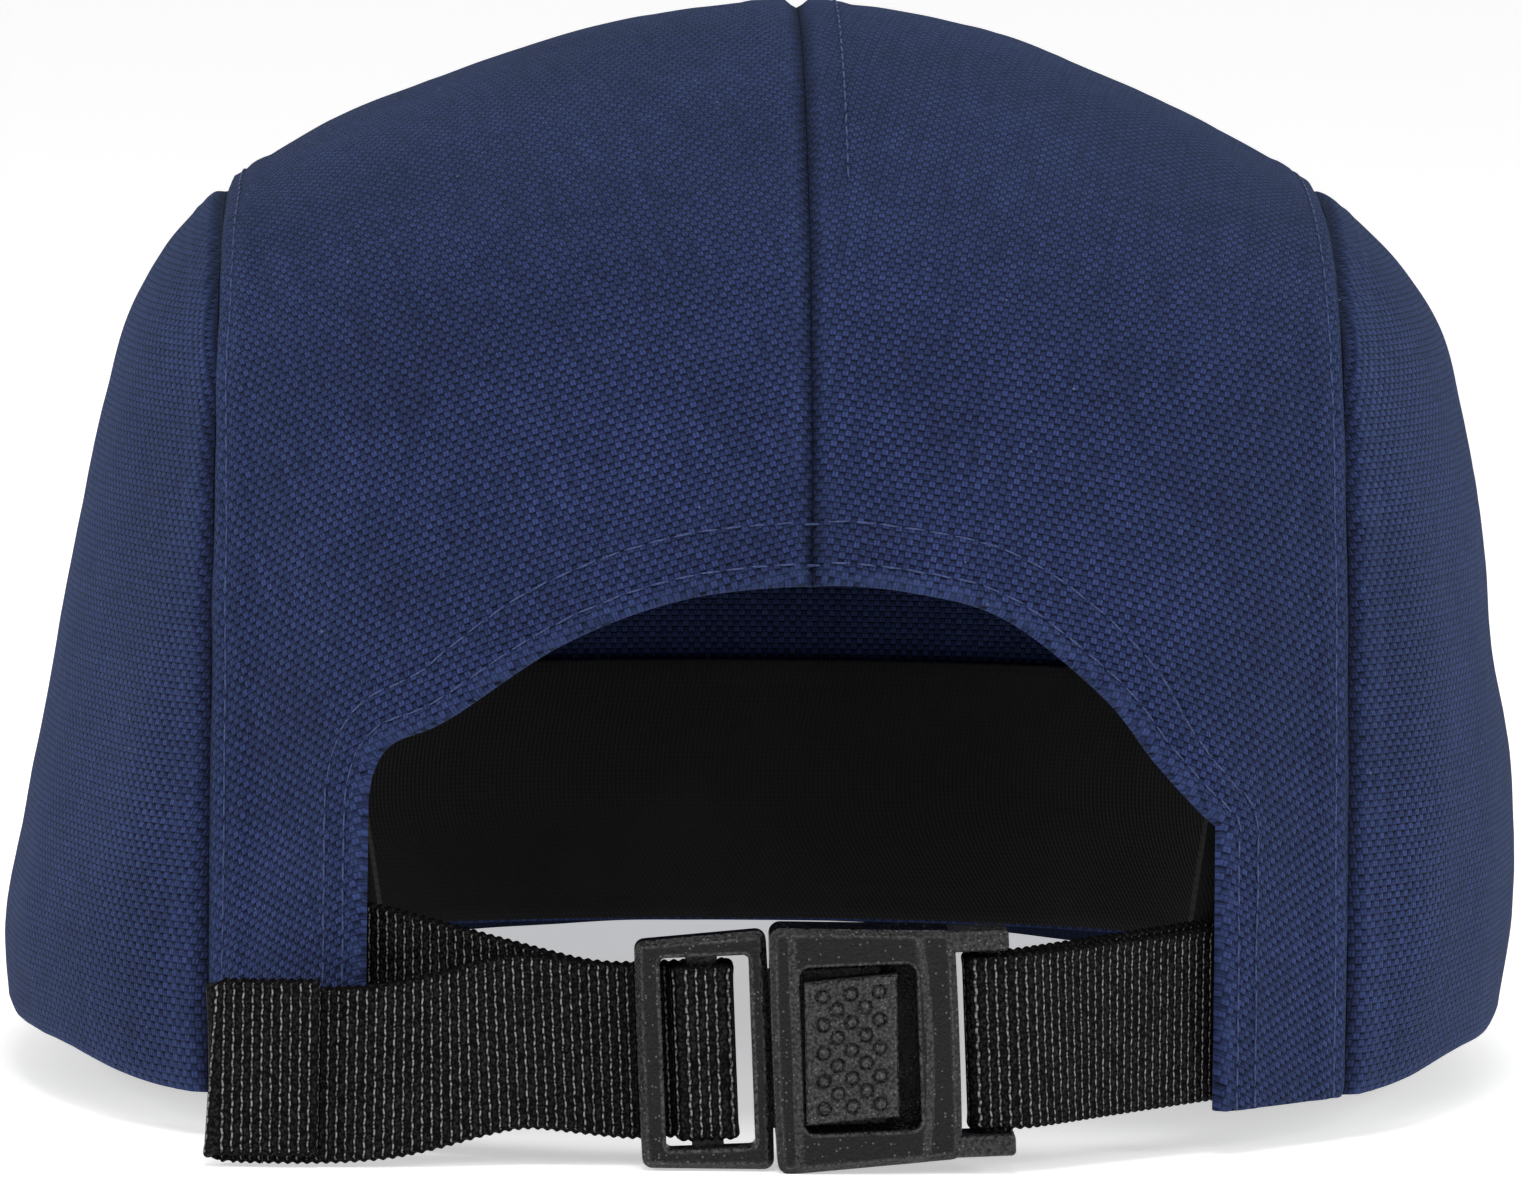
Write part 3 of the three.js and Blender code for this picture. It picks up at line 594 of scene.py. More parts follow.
def grid_normals(grid: Array, outward: float) -> Array:
    """Directions square to a grid of points, whose rows go up and columns go across."""
    up = np.gradient(grid, axis=0)
    across = np.gradient(grid, axis=1)
    return outward * unit(np.cross(up, across))


@dataclass
class BackPanel:
    """One of the two back panels, with its half of the arch. Millimetres."""

    crown: CrownForm
    arch: ArchEdge
    side: Side
    cell: float = 0.62
    hem_raised: float = 0.3
    inner_row: float = 2.0
    outer_row_side: float = 4.5
    outer_row_top: float = 6.6
    centre_row: float = 4.3
    pucker: float = 0.1
    stitch_pitch: float = 2.7
    seam: SewnEdge = field(default_factory=SewnEdge)
    side_seam: SewnEdge = field(default_factory=lambda: SewnEdge(stitch_from_seam=2.9))
    waves: tuple[Wave, ...] = ((0.12, 9.0, 11), (0.05, 3.1, 17))
    grain_degrees: float = 0.0
    grain_bend: float = 0.0

    def columns(self) -> tuple[Array, int]:
        """X of each column, outwards from the centre seam, and the first column past the arch."""
        sign = self.side.value
        line = self.arch.line(self.crown)
        line = line[line[:, 0] * sign > 0] * [sign, 1]
        line = line[np.argsort(line[:, 0])]
        line = np.concatenate([[[SEAM_PART, line[0, 1]]], line[line[:, 0] > SEAM_PART + 0.2]])
        length = run_length(line)[-1]
        across = resample(line, np.linspace(0, length, int(length / self.cell)))[:, 0]
        across = np.maximum.accumulate(across)
        across = across[np.concatenate([[True], np.diff(across) > SEAM_PART])]
        reach = line[-1, 0]
        across[-1] = reach
        end = self.crown.rim_middle * sign + self.crown.seam_half_width - SEAM_PART
        past = np.linspace(reach, end, int((end - reach) / self.cell))[1:]
        return sign * np.concatenate([across, past]), len(across) - 1

    def build(self) -> tuple[ClothSkin, list[SeamLine]]:
        """Lays the cloth and finds the lines of its stitching."""
        crown, sign = self.crown, self.side.value
        xs, past = self.columns()
        curves = crown.profiles(xs)
        runs = run_length(curves)
        half = curves.shape[0] // 2
        seam_y = -(crown.top_seam_reach - SEAM_PART)
        top = np.array([
            np.interp(-seam_y, -curves[half // 2:, i, 1], runs[half // 2:, i]) for i in range(len(xs))
        ])
        arch = self.arch.line(crown) * [sign, 1]
        arch = arch[np.argsort(arch[:, 0])]
        heights = np.interp(np.minimum(np.abs(xs), arch[-1, 0]), arch[:, 0], arch[:, 1])
        start = np.array([
            np.interp(heights[i], curves[:half, i, 2], runs[:half, i]) for i in range(len(xs))
        ])
        rows = int((top - start).max() / self.cell)
        share = np.linspace(0, 1, rows + 1)[:, None]
        upper_run = start + (top - start) * share
        leg_rows = int(start[past] / self.cell)
        leg_run = start[past:] * np.linspace(0, 1, leg_rows + 1)[:, None]

        def lay(places: Array, first: int) -> Array:
            """Points of some columns at given distances from the rim."""
            return np.stack(
                [resample(curves[:, first + i], places[:, i]) for i in range(places.shape[1])], 1
            )

        upper, leg = lay(upper_run, 0), lay(leg_run, past)
        shares = np.linspace(0, 1, 160)[:, None]
        whole = lay(top * shares, 0)
        up = unit(np.gradient(whole, axis=0))
        step = np.diff(whole, axis=1)
        step = step - up[:, 1:] * (step * up[:, 1:]).sum(-1, keepdims=True)
        wide = np.concatenate([np.zeros((160, 1)), np.cumsum(np.linalg.norm(step, axis=-1), 1)], 1)

        def across(places: Array, first: int) -> tuple[Array, Array]:
            """Distance over the cloth to the centre seam, and to the side seam."""
            found, total = np.empty(places.shape), np.empty(places.shape)
            for i in range(places.shape[1]):
                at = places[:, i] / top[first + i]
                found[:, i] = np.interp(at, shares[:, 0], wide[:, first + i])
                total[:, i] = np.interp(at, shares[:, 0], wide[:, -1])
            return found, total - found

        upper_in, upper_out = across(upper_run, 0)
        leg_in, leg_out = across(leg_run, past)
        count = upper.shape[0] * upper.shape[1]
        upper_index = np.arange(count).reshape(upper.shape[:2])
        leg_index = count + np.arange((leg.shape[0] - 1) * leg.shape[1]).reshape(-1, leg.shape[1])
        leg_index = np.concatenate([leg_index, upper_index[:1, past:]])
        faces = np.concatenate([grid_faces(upper_index), grid_faces(leg_index)])
        faces = faces if sign > 0 else faces[:, ::-1]

        def both(a: Array, b: Array) -> Array:
            """Values of the upper grid, then of the leg without its shared row."""
            tail = b[:-1]
            return np.concatenate([a.reshape(-1, *a.shape[2:]), tail.reshape(-1, *b.shape[2:])])

        points = both(upper, leg)
        normals = both(grid_normals(upper, sign), grid_normals(leg, sign))
        inward = both(upper_in, leg_in)
        outward = both(upper_out, leg_out)
        run = both(upper_run, leg_run)
        to_top = both(top - upper_run, np.full(leg_run.shape, FAR))
        edge = self.arch.edge(crown, sign)
        to_arch, at_arch = nearest(points, edge)
        outer_row = self.outer_row(points[:, 2])
        lift = self.seam.lift(inward) + self.side_seam.lift(outward) + self.seam.lift(to_top)
        lift += self.hem_raised * smooth(0, 0.9, to_arch) * (1 - smooth(0, 1, (to_arch - outer_row - 0.6)))
        lift -= 0.55 * bell(to_arch, 0.55)
        wave = np.sin(2 * math.pi * at_arch * 0.25 / self.stitch_pitch)
        for row in (self.inner_row, outer_row):
            close = bell(to_arch - row, 0.45)
            lift -= 0.3 * close
            lift += self.pucker * wave * bell(to_arch - row, 1.4)
        lift = rumpled(lift, inward, run, self.waves, sign)
        to_rim = np.where(points[:, 2] < 12, run, FAR)
        lift -= RIM_ROLL * bell(to_rim, RIM_ROLL_WIDTH)
        turn = math.radians(self.grain_degrees)
        fade = bell(run, 75.0)
        bend = 0.5 * self.grain_bend * inward**2 * fade
        uv = np.stack([
            inward * math.cos(turn) - run * math.sin(turn),
            run * math.cos(turn) + inward * math.sin(turn) + bend,
        ], -1)
        # Painted shade in the seam grooves, strongest at each seam.
        seam_shade = np.maximum(bell(inward, 0.7), np.maximum(bell(outward, 0.8), bell(to_top, 0.8)))
        wear = bell(to_arch - 0.5, 0.8) + 0.5 * bell(outward - 1.6, 1.2) + 0.3 * bell(inward - 1.4, 1.0)
        skin = ClothSkin(points, normals, faces, uv, lift, np.minimum(to_arch, to_rim), seam_shade, wear)
        guides = [self.sunk(line, points, lift) for line in self.arch_rows(edge)]
        if self.side is Side.RIGHT:
            row = self.column_line(
                upper, grid_normals(upper, sign), upper_in, self.centre_row, 0.35, 0.8
            )
            guides.append(self.sunk(row, points, lift))
        from_seam = self.side_seam.stitch_from_seam
        row = self.column_line(
            upper, grid_normals(upper, sign), upper_out, from_seam, 0.0, 0.95, leg, leg_out, sign
        )
        guides.append(self.sunk(row, points, lift))
        return skin, guides

    def outer_row(self, height: Array) -> Array:
        """Distance of the outer row of stitches from the arch, which grows towards the top."""
        return self.outer_row_side + (self.outer_row_top - self.outer_row_side) * smooth(36, 56, height)

    def sunk(self, line: SeamLine, points: Array, lift: Array) -> SeamLine:
        """A line brought to the height that the cloth really has beside it."""
        _, index = nearest(line.points, points)
        height = np.convolve(np.pad(lift[index], 4, "edge"), np.ones(9) / 9, "valid")
        return SeamLine(line.points + line.normals * (height + 0.08)[:, None], line.normals)

    def arch_rows(self, edge: Array) -> list[SeamLine]:
        """The two rows of stitches that follow the arch's hem."""
        found = []
        tangent = unit(np.gradient(edge, axis=0))
        normals = self.crown.back_normal(edge[:, 0], np.maximum(edge[:, 2] - self.crown.rim_height, 0))
        away = unit(np.cross(normals, tangent)) * self.side.value
        for row in range(2):
            wide = self.inner_row if row == 0 else self.outer_row(edge[:, 2])
            moved = edge + away * np.reshape(wide, (-1, 1) if np.ndim(wide) else ())
            keep = (moved[:, 0] * self.side.value > 0.15) & (moved[:, 2] > self.crown.rim_height + 1.0)
            moved = moved[keep]
            height = moved[:, 2] - self.crown.rim_height
            laid = self.crown.back(moved[:, 0], height)
            out = self.crown.back_normal(moved[:, 0], height)
            found.append(SeamLine(laid, out))
        return found

    def column_line(
        self, grid: Array, normals: Array, distance: Array, level: float, low: float, high: float,
        leg: Array | None = None, leg_distance: Array | None = None, sign: float = 1.0,
    ) -> SeamLine:
        """A line up the cloth at one distance from a seam.

        Args:
            grid: points of the cloth, in rows from low to high.
            normals: outward direction at each point.
            distance: distance of each point from the seam.
            level: the wanted distance.
            low: share of the rows where the line starts.
            high: share of the rows where it ends.
            leg: points of the leg beside the arch, which come first.
            leg_distance: their distances.
            sign: the side, for the leg's directions.

        Returns:
            The line.
        """
        def cross(points: Array, away: Array) -> Array:
            """Points where each row reaches the level."""
            found = []
            for row, values in zip(points, away):
                order = np.argsort(values)
                found.append([np.interp(level, values[order], row[order, k]) for k in range(3)])
            return np.array(found)

        rows = slice(int(low * len(grid)), int(high * len(grid)))
        line, out = cross(grid[rows], distance[rows]), unit(cross(normals[rows], distance[rows]))
        if leg is not None and leg_distance is not None:
            line = np.concatenate([cross(leg[2:-1], leg_distance[2:-1]), line])
            out = np.concatenate([unit(cross(grid_normals(leg, sign)[2:-1], leg_distance[2:-1])), out])
        return SeamLine(line, out)


@dataclass
class SidePanel:
    """One of the two side panels, from the rim to its rounded top. Millimetres."""

    crown: CrownForm
    side: Side
    cell: float = 0.8
    seam: SewnEdge = field(default_factory=lambda: SewnEdge(allowance=3.2, raised=0.16))
    waves: tuple[Wave, ...] = ((0.14, 11.0, 5), (0.05, 3.4, 7))

    def build(self) -> ClothSkin:
        """Lays the cloth between its two seams."""
        crown, sign = self.crown, self.side.value
        seam_x = crown.rim_middle + sign * (crown.seam_half_width + SEAM_PART)
        start = 0.0 if sign > 0 else math.pi
        low, high = 0.3, 1.0
        for _ in range(40):
            middle = (low + high) / 2
            wide = sign * (crown.point(start, middle)[..., 0] - seam_x) > 0
            low, high = (middle, high) if wide else (low, middle)
        rows = int(95 / self.cell)
        places = low * np.sin(np.linspace(0, 0.998, rows) * math.pi / 2)
        behind = crown.angle_at(np.full(rows, seam_x), places)
        ahead = crown.angle_at(np.full(rows, seam_x), places, front=True)
        ahead = ahead if sign > 0 else ahead + 2 * math.pi
        count = int(150 / self.cell)
        grid = np.empty((rows, count, 3))
        for j in range(rows):
            dense = crown.point(np.linspace(behind[j], ahead[j], 400), np.full(400, places[j]))
            grid[j] = resample(dense, np.linspace(0, run_length(dense)[-1], count))
        index = np.arange(rows * count).reshape(rows, count)
        faces = grid_faces(index)
        faces = faces if sign > 0 else faces[:, ::-1]
        normals = grid_normals(grid, sign)
        normals[-1] = normals[-2] = normals[-3].mean(0)
        along = run_length(np.swapaxes(grid, 0, 1)).T
        along = along - along[:, -1:] / 2
        up = run_length(grid[:, count // 2])[:, None] + np.zeros((1, count))
        border = np.concatenate([grid[:, 0], grid[::-1, -1]])
        border = resample(border, np.arange(0, run_length(border)[-1], 0.3))
        points = grid.reshape(-1, 3)
        to_seam, _ = nearest(points, border)
        run = up.reshape(-1)
        lift = rumpled(self.seam.lift(to_seam), along.reshape(-1), run, self.waves, sign)
        lift += 0.12 * bell(to_seam - 4.0, 0.6)
        lift -= RIM_ROLL * bell(run, RIM_ROLL_WIDTH)
        uv = np.stack([along.reshape(-1), run], -1)
        # Painted shade in the seam grooves, strongest at each seam.
        seam_shade = bell(to_seam, 0.8)
        wear = 0.5 * bell(to_seam - 1.5, 1.0) + 0.5 * bell(to_seam - 4.0, 0.7) + 0.5 * bell(run - 0.6, 0.8)
        return ClothSkin(points, normals.reshape(-1, 3), faces, uv, lift, run, seam_shade, wear)


@dataclass
class FrontPanel:
    """The front panel, from the seam over the top down to the front rim. Millimetres."""

    crown: CrownForm
    cell: float = 0.85
    seam: SewnEdge = field(default_factory=lambda: SewnEdge(stitch_from_seam=2.9))
    waves: tuple[Wave, ...] = ((0.12, 10.0, 23),)

    def build(self) -> tuple[ClothSkin, list[SeamLine]]:
        """Lays the cloth and finds the line of stitches beside the top seam."""
        crown = self.crown
        low = crown.rim_middle - crown.seam_half_width + SEAM_PART
        high = crown.rim_middle + crown.seam_half_width - SEAM_PART
        xs = np.linspace(low, high, int((high - low) / self.cell))
        curves = crown.profiles(xs)[::-1]
        runs = run_length(curves)
        half = curves.shape[0] // 2
        seam_y = -(crown.top_seam_reach + SEAM_PART)
        top = np.array([
            np.interp(seam_y, curves[:half, i, 1], runs[:half, i]) for i in range(len(xs))
        ])
        rows = int(top.max() / self.cell)
        places = top * np.linspace(0, 1, rows)[:, None]
        grid = np.stack([resample(curves[:, i], places[:, i]) for i in range(len(xs))], 1)
        normals = grid_normals(grid, -1.0)
        index = np.arange(grid.shape[0] * grid.shape[1]).reshape(grid.shape[:2])
        faces = grid_faces(index)[:, ::-1]
        border = np.concatenate([grid[:, 0], grid[-1], grid[::-1, -1]])
        border = resample(border, np.arange(0, run_length(border)[-1], 0.3))
        points = grid.reshape(-1, 3)
        to_seam, _ = nearest(points, border)
        run = places.reshape(-1)
        wide = run_length(np.swapaxes(grid, 0, 1)).T
        wide = (wide - wide[:, [wide.shape[1] // 2]]).reshape(-1)
        lift = rumpled(self.seam.lift(to_seam), wide, run, self.waves)
        lift -= RIM_ROLL * bell(run, RIM_ROLL_WIDTH)
        uv = np.stack([wide, run], -1)
        # Painted shade in the seam grooves, strongest at each seam.
        seam_shade = bell(to_seam, 0.8)
        wear = 0.5 * bell(to_seam - 1.6, 1.0) + 0.5 * bell(run - 0.6, 0.8)
        skin = ClothSkin(points, normals.reshape(-1, 3), faces, uv, lift, run, seam_shade, wear)
        from_seam = self.seam.stitch_from_seam

        def beside_seam(values: Array) -> Array:
            """Values along the row of stitches beside the top seam."""
            return np.array([
                [np.interp(top[i] - from_seam, places[:, i], values[:, i, k]) for k in range(3)]
                for i in range(4, len(xs) - 4)
            ])

        return skin, [SeamLine(beside_seam(grid), unit(beside_seam(normals)))]


# Node tools


class Tree:
    """Short calls for building a node tree in the script."""

    def __init__(self, tree: NodeTree) -> None:
        """Wraps an empty or new tree."""
        self.tree = tree

    def add(self, kind: str, values: dict | None = None, **settings: object) -> Node:
        """Adds a node, sets its options, and fills or links its inputs.

        Args:
            kind: the node's type.
            values: input name or number to a constant or an output socket.
            settings: options of the node.

        Returns:
            The node.
        """
        node = self.tree.nodes.new(kind)
        for key, value in settings.items():
            setattr(node, key, value)
        self.feed(node, values or {})
        return node

    def feed(self, node: Node, values: dict) -> None:
        """Fills inputs of a node with constants, or links sockets to them."""
        for key, value in values.items():
            target = node.inputs[key]
            if isinstance(value, Socket):
                self.tree.links.new(value, target)
            else:
                target.default_value = value

    def pattern(self, tree: NodeTree, **values: object) -> Node:
        """Places a pattern group in a material with its own values."""
        return self.add("ShaderNodeGroup", values, node_tree=tree)

    def stored(self, name: str) -> Socket:
        """Values that the piece keeps at its points."""
        return self.add("ShaderNodeAttribute", attribute_name=name).outputs["Fac"]

    def cloth(self) -> Socket:
        """Place on the flat cloth, in centimetres."""
        return self.add("ShaderNodeUVMap", uv_map="cloth").outputs[0]

    def place(self) -> Socket:
        """Place on the object."""
        return self.add("ShaderNodeTexCoord").outputs["Object"]

    def scaled(self, vector: Socket, share: Socket) -> Socket:
        """A vector or colour times a number."""
        return self.add("ShaderNodeVectorMath", {0: vector, "Scale": share}, operation="SCALE").outputs[0]

    def bump(self, height: object, depth: float, strength: float) -> Socket:
        """Normal of a fine relief."""
        values = {"Height": height, "Distance": depth, "Strength": strength}
        return self.add("ShaderNodeBump", values).outputs[0]

    def math(self, operation: str, *values: object) -> Socket:
        """One step of arithmetic on numbers or sockets."""
        node = self.add("ShaderNodeMath", {i: v for i, v in enumerate(values)}, operation=operation)
        return node.outputs[0]

    def times(self, first: object, second: object) -> Socket:
        """Product of two numbers or sockets."""
        return self.math("MULTIPLY", first, second)

    def plus(self, first: object, second: object) -> Socket:
        """Sum of two numbers or sockets."""
        return self.math("ADD", first, second)

    def minus(self, first: object, second: object) -> Socket:
        """Difference of two numbers or sockets."""
        return self.math("SUBTRACT", first, second)

    def ramp(
        self, value: object, low: float, high: float, to_low: float = 0.0, to_high: float = 1.0,
    ) -> Socket:
        """Smoothly maps a range of a value onto another."""
        node = self.add(
            "ShaderNodeMapRange",
            {"Value": value, "From Min": low, "From Max": high, "To Min": to_low, "To Max": to_high},
            interpolation_type="SMOOTHSTEP",
        )
        return node.outputs["Result"]

    def mix(self, share: object, first: object, second: object) -> Socket:
        """Blends two colours."""
        return self.add("ShaderNodeMix", {0: share, 6: first, 7: second}, data_type="RGBA").outputs[2]

    def noise(self, place: object, scale: object, detail: float = 2.0, roughness: float = 0.5) -> Socket:
        """Soft noise between 0 and 1."""
        node = self.add(
            "ShaderNodeTexNoise",
            {"Vector": place, "Scale": scale, "Detail": detail, "Roughness": roughness},
        )
        return node.outputs["Fac"]

    def axes(self, vector: object) -> tuple[Socket, ...]:
        """Splits a vector."""
        node = self.add("ShaderNodeSeparateXYZ", {"Vector": vector})
        return node.outputs[0], node.outputs[1], node.outputs[2]


def new_tree(
    name: str, kind: str, inputs: Sequence[Given], outputs: Sequence[tuple[str, str]],
) -> tuple[Tree, Node, Node]:
    """Makes an empty node tree with named inputs and outputs.

    Args:
        name: the tree's name.
        kind: its type, for shaders or for geometry.
        inputs: name, kind and value of each input.
        outputs: name and kind of each output.

    Returns:
        The tree's tool, its input node and its output node.
    """
    tree = bpy.data.node_groups.new(name, kind)
    for label, socket_kind, value in inputs:
        socket = tree.interface.new_socket(label, in_out="INPUT", socket_type=f"NodeSocket{socket_kind}")
        if value is not None:
            socket.default_value = value
    for label, socket_kind in outputs:
        tree.interface.new_socket(label, in_out="OUTPUT", socket_type=f"NodeSocket{socket_kind}")
    tool = Tree(tree)
    return tool, tool.add("NodeGroupInput"), tool.add("NodeGroupOutput")


def pattern_tree(
    name: str, inputs: Sequence[Given], outputs: Sequence[tuple[str, str]],
) -> tuple[Tree, Node, Node]:
    """An empty shader node group."""
    return new_tree(name, "ShaderNodeTree", inputs, outputs)


def basket_weave_group() -> NodeTree:
    """Two-by-two basket weave: pairs of threads pass over and under pairs of threads, with painted shade
    along the top edge of each weft block.
    """
    t, given, out = pattern_tree(
        "basket_weave",
        [("Vector", "Vector", None), ("Cell", "Float", 0.07), ("Fray", "Float", 0.12)],
        [("Height", "Float"), ("Weft", "Float"), ("Shade", "Float"), ("Gap", "Float")],
    )
    vector = given.outputs["Vector"]
    joined = t.add("ShaderNodeCombineXYZ", {i: given.outputs["Cell"] for i in range(3)})
    cells = t.add("ShaderNodeVectorMath", {0: vector, 1: joined.outputs[0]}, operation="DIVIDE")
    wobble = t.add("ShaderNodeTexNoise", {"Vector": cells.outputs[0], "Scale": 0.9, "Detail": 2.0})
    centred = t.add(
        "ShaderNodeVectorMath", {0: wobble.outputs["Color"], 1: (0.5, 0.5, 0.5)}, operation="SUBTRACT"
    )
    spread = t.scaled(centred.outputs[0], t.times(given.outputs["Fray"], 2.0))
    moved = t.add("ShaderNodeVectorMath", {0: cells.outputs[0], 1: spread}, operation="ADD")
    x, y, _ = t.axes(moved.outputs[0])
    fx, fy = t.math("FRACT", x), t.math("FRACT", y)
    parity = t.math("FLOORED_MODULO", t.plus(t.math("FLOOR", x), t.math("FLOOR", y)), 2.0)
    weft = t.math("LESS_THAN", parity, 0.5)

    def over(along: Socket, across: Socket) -> Socket:
        """Height of a pair of threads that lies on top."""
        bulge = t.math("POWER", t.math("SINE", t.times(along, math.pi)), 0.5)
        pair = t.math("POWER", t.math("ABSOLUTE", t.math("SINE", t.times(across, 2 * math.pi))), 0.8)
        return t.times(bulge, t.plus(t.times(pair, 0.7), 0.3))

    flat, upright = over(fx, fy), over(fy, fx)
    height = t.plus(t.times(flat, weft), t.times(upright, t.minus(1.0, weft)))
    raised = t.times(height, t.minus(1.0, t.times(weft, 0.2)))
    t.feed(out, {"Height": raised})
    t.feed(out, {"Weft": weft})
    # Painted shade: a dark dash along the top edge of each weft block, as if lit from above.
    middle = t.ramp(t.math("ABSOLUTE", t.minus(fx, 0.5)), 0.38, 0.54, 1.0, 0.0)
    top_edge_dash_shade = t.times(t.times(t.ramp(fy, 0.6, 0.8), middle), weft)
    t.feed(out, {"Gap": top_edge_dash_shade})
    slub = t.add("ShaderNodeMapping", {"Vector": cells.outputs[0], "Scale": (0.06, 1.1, 1.0)})
    slub_warp = t.add("ShaderNodeMapping", {"Vector": cells.outputs[0], "Scale": (1.1, 0.06, 1.0)})
    thread = t.math(
        "ADD",
        t.times(t.noise(slub.outputs[0], 1.0), weft),
        t.times(t.noise(slub_warp.outputs[0], 1.0), t.minus(1.0, weft)),
    )
    whole = t.add("ShaderNodeCombineXYZ", {0: t.math("FLOOR", x), 1: t.math("FLOOR", y), 2: 0.5})
    chance = t.add("ShaderNodeTexWhiteNoise", {"Vector": whole.outputs[0]}, noise_dimensions="3D")
    uneven = t.plus(t.times(thread, 0.8), t.times(chance.outputs["Value"], 0.2))
    t.feed(out, {"Shade": uneven})
    return t.tree


def lint_and_glint_group() -> NodeTree:
    """Sparse light specks: lint on the cloth, and painted glints of the grain on the plastic."""
    t, given, out = pattern_tree(
        "specks",
        [
            ("Vector", "Vector", None), ("Scale", "Float", 600.0),
            ("Share", "Float", 0.08), ("Size", "Float", 0.16),
        ],
        [("Mask", "Float")],
    )
    cell = t.add(
        "ShaderNodeTexVoronoi", {"Vector": given.outputs["Vector"], "Scale": given.outputs["Scale"]}
    )
    red, _, _ = t.axes(cell.outputs["Color"])
    chosen = t.math("LESS_THAN", red, given.outputs["Share"])
    near = t.math("LESS_THAN", cell.outputs["Distance"], given.outputs["Size"])
    t.feed(out, {"Mask": t.times(chosen, near)})
    return t.tree


def rib_group() -> NodeTree:
    """Woven strap: pale threads across the strap between rows of raised dark blocks."""
    t, given, out = pattern_tree(
        "webbing_weave",
        [("Vector", "Vector", None), ("Pitch", "Float", 0.102), ("Block", "Float", 0.09)],
        [("Thread", "Float"), ("Block", "Float"), ("Height", "Float")],
    )
    along, across, _ = t.axes(given.outputs["Vector"])
    block = t.math("DIVIDE", across, given.outputs["Block"])
    sway = t.times(t.math("SINE", t.times(block, math.pi)), 0.05)
    rib = t.plus(t.math("DIVIDE", along, given.outputs["Pitch"]), sway)
    place = t.math("FRACT", rib)
    off = t.math("ABSOLUTE", t.minus(place, 0.5))
    line = t.ramp(off, 0.05, 0.13, 1.0, 0.0)
    row = t.math("FLOORED_MODULO", t.math("FLOOR", rib), 2.0)
    bump = t.math("ABSOLUTE", t.math("SINE", t.times(t.plus(block, t.times(row, 0.5)), math.pi)))
    crossing = t.ramp(bump, 0.2, 0.8, 0.2, 1.0)
    t.feed(out, {"Thread": t.times(line, crossing)})
    raised = t.times(t.math("POWER", bump, 0.5), t.ramp(off, 0.16, 0.3))
    t.feed(out, {"Block": raised})
    t.feed(out, {"Height": t.plus(raised, t.times(line, 0.35))})
    return t.tree


def twill_group() -> NodeTree:
    """Fine slanting ribs of a twill."""
    t, given, out = pattern_tree(
        "twill_weave", [("Vector", "Vector", None), ("Rib", "Float", 0.055)], [("Height", "Float")]
    )
    x, y, _ = t.axes(given.outputs["Vector"])
    slant = t.math("DIVIDE", t.plus(x, t.times(y, 0.7)), given.outputs["Rib"])
    rib = t.math("ABSOLUTE", t.math("SINE", t.times(slant, math.pi)))
    thread = t.math("ABSOLUTE", t.math("SINE", t.math("DIVIDE", t.times(y, math.pi), given.outputs["Rib"])))
    t.feed(out, {"Height": t.plus(rib, t.times(thread, 0.4))})
    return t.tree


def grain_group() -> NodeTree:
    """Fine moulded grain."""
    t, given, out = pattern_tree(
        "moulded_grain", [("Vector", "Vector", None), ("Scale", "Float", 2600.0)], [("Height", "Float")]
    )
    fine = t.noise(given.outputs["Vector"], given.outputs["Scale"], 3.0)
    t.feed(out, {"Height": fine})
    return t.tree


def rubbing_and_highlight_group() -> NodeTree:
    """Uneven rubbing and painted highlight, where the piece's own wear values are high."""
    t, given, out = pattern_tree(
        "rubbed_and_highlit_edges",
        [("Vector", "Vector", None), ("Wear", "Float", 0.0), ("Scale", "Float", 400.0)],
        [("Mask", "Float")],
    )
    patchy = t.noise(given.outputs["Vector"], given.outputs["Scale"], 3.0)
    mask = t.times(given.outputs["Wear"], t.ramp(patchy, 0.3, 0.7))
    t.feed(out, {"Mask": mask})
    return t.tree


class Patterns:
    """The shared pattern groups, each built once."""

    def __init__(self) -> None:
        """Builds every group."""
        self.basket = basket_weave_group()
        self.specks = lint_and_glint_group()
        self.webbing = rib_group()
        self.twill = twill_group()
        self.grain = grain_group()
        self.wear = rubbing_and_highlight_group()


def new_material(name: str) -> tuple[Material, Tree, Node]:
    """Makes a material with an empty Principled surface."""
    material = bpy.data.materials.new(name)
    material.use_nodes = True
    material.node_tree.nodes.clear()
    tool = Tree(material.node_tree)
    surface = tool.add("ShaderNodeBsdfPrincipled")
    out = tool.add("ShaderNodeOutputMaterial")
    material.node_tree.links.new(surface.outputs[0], out.inputs[0])
    return material, tool, surface


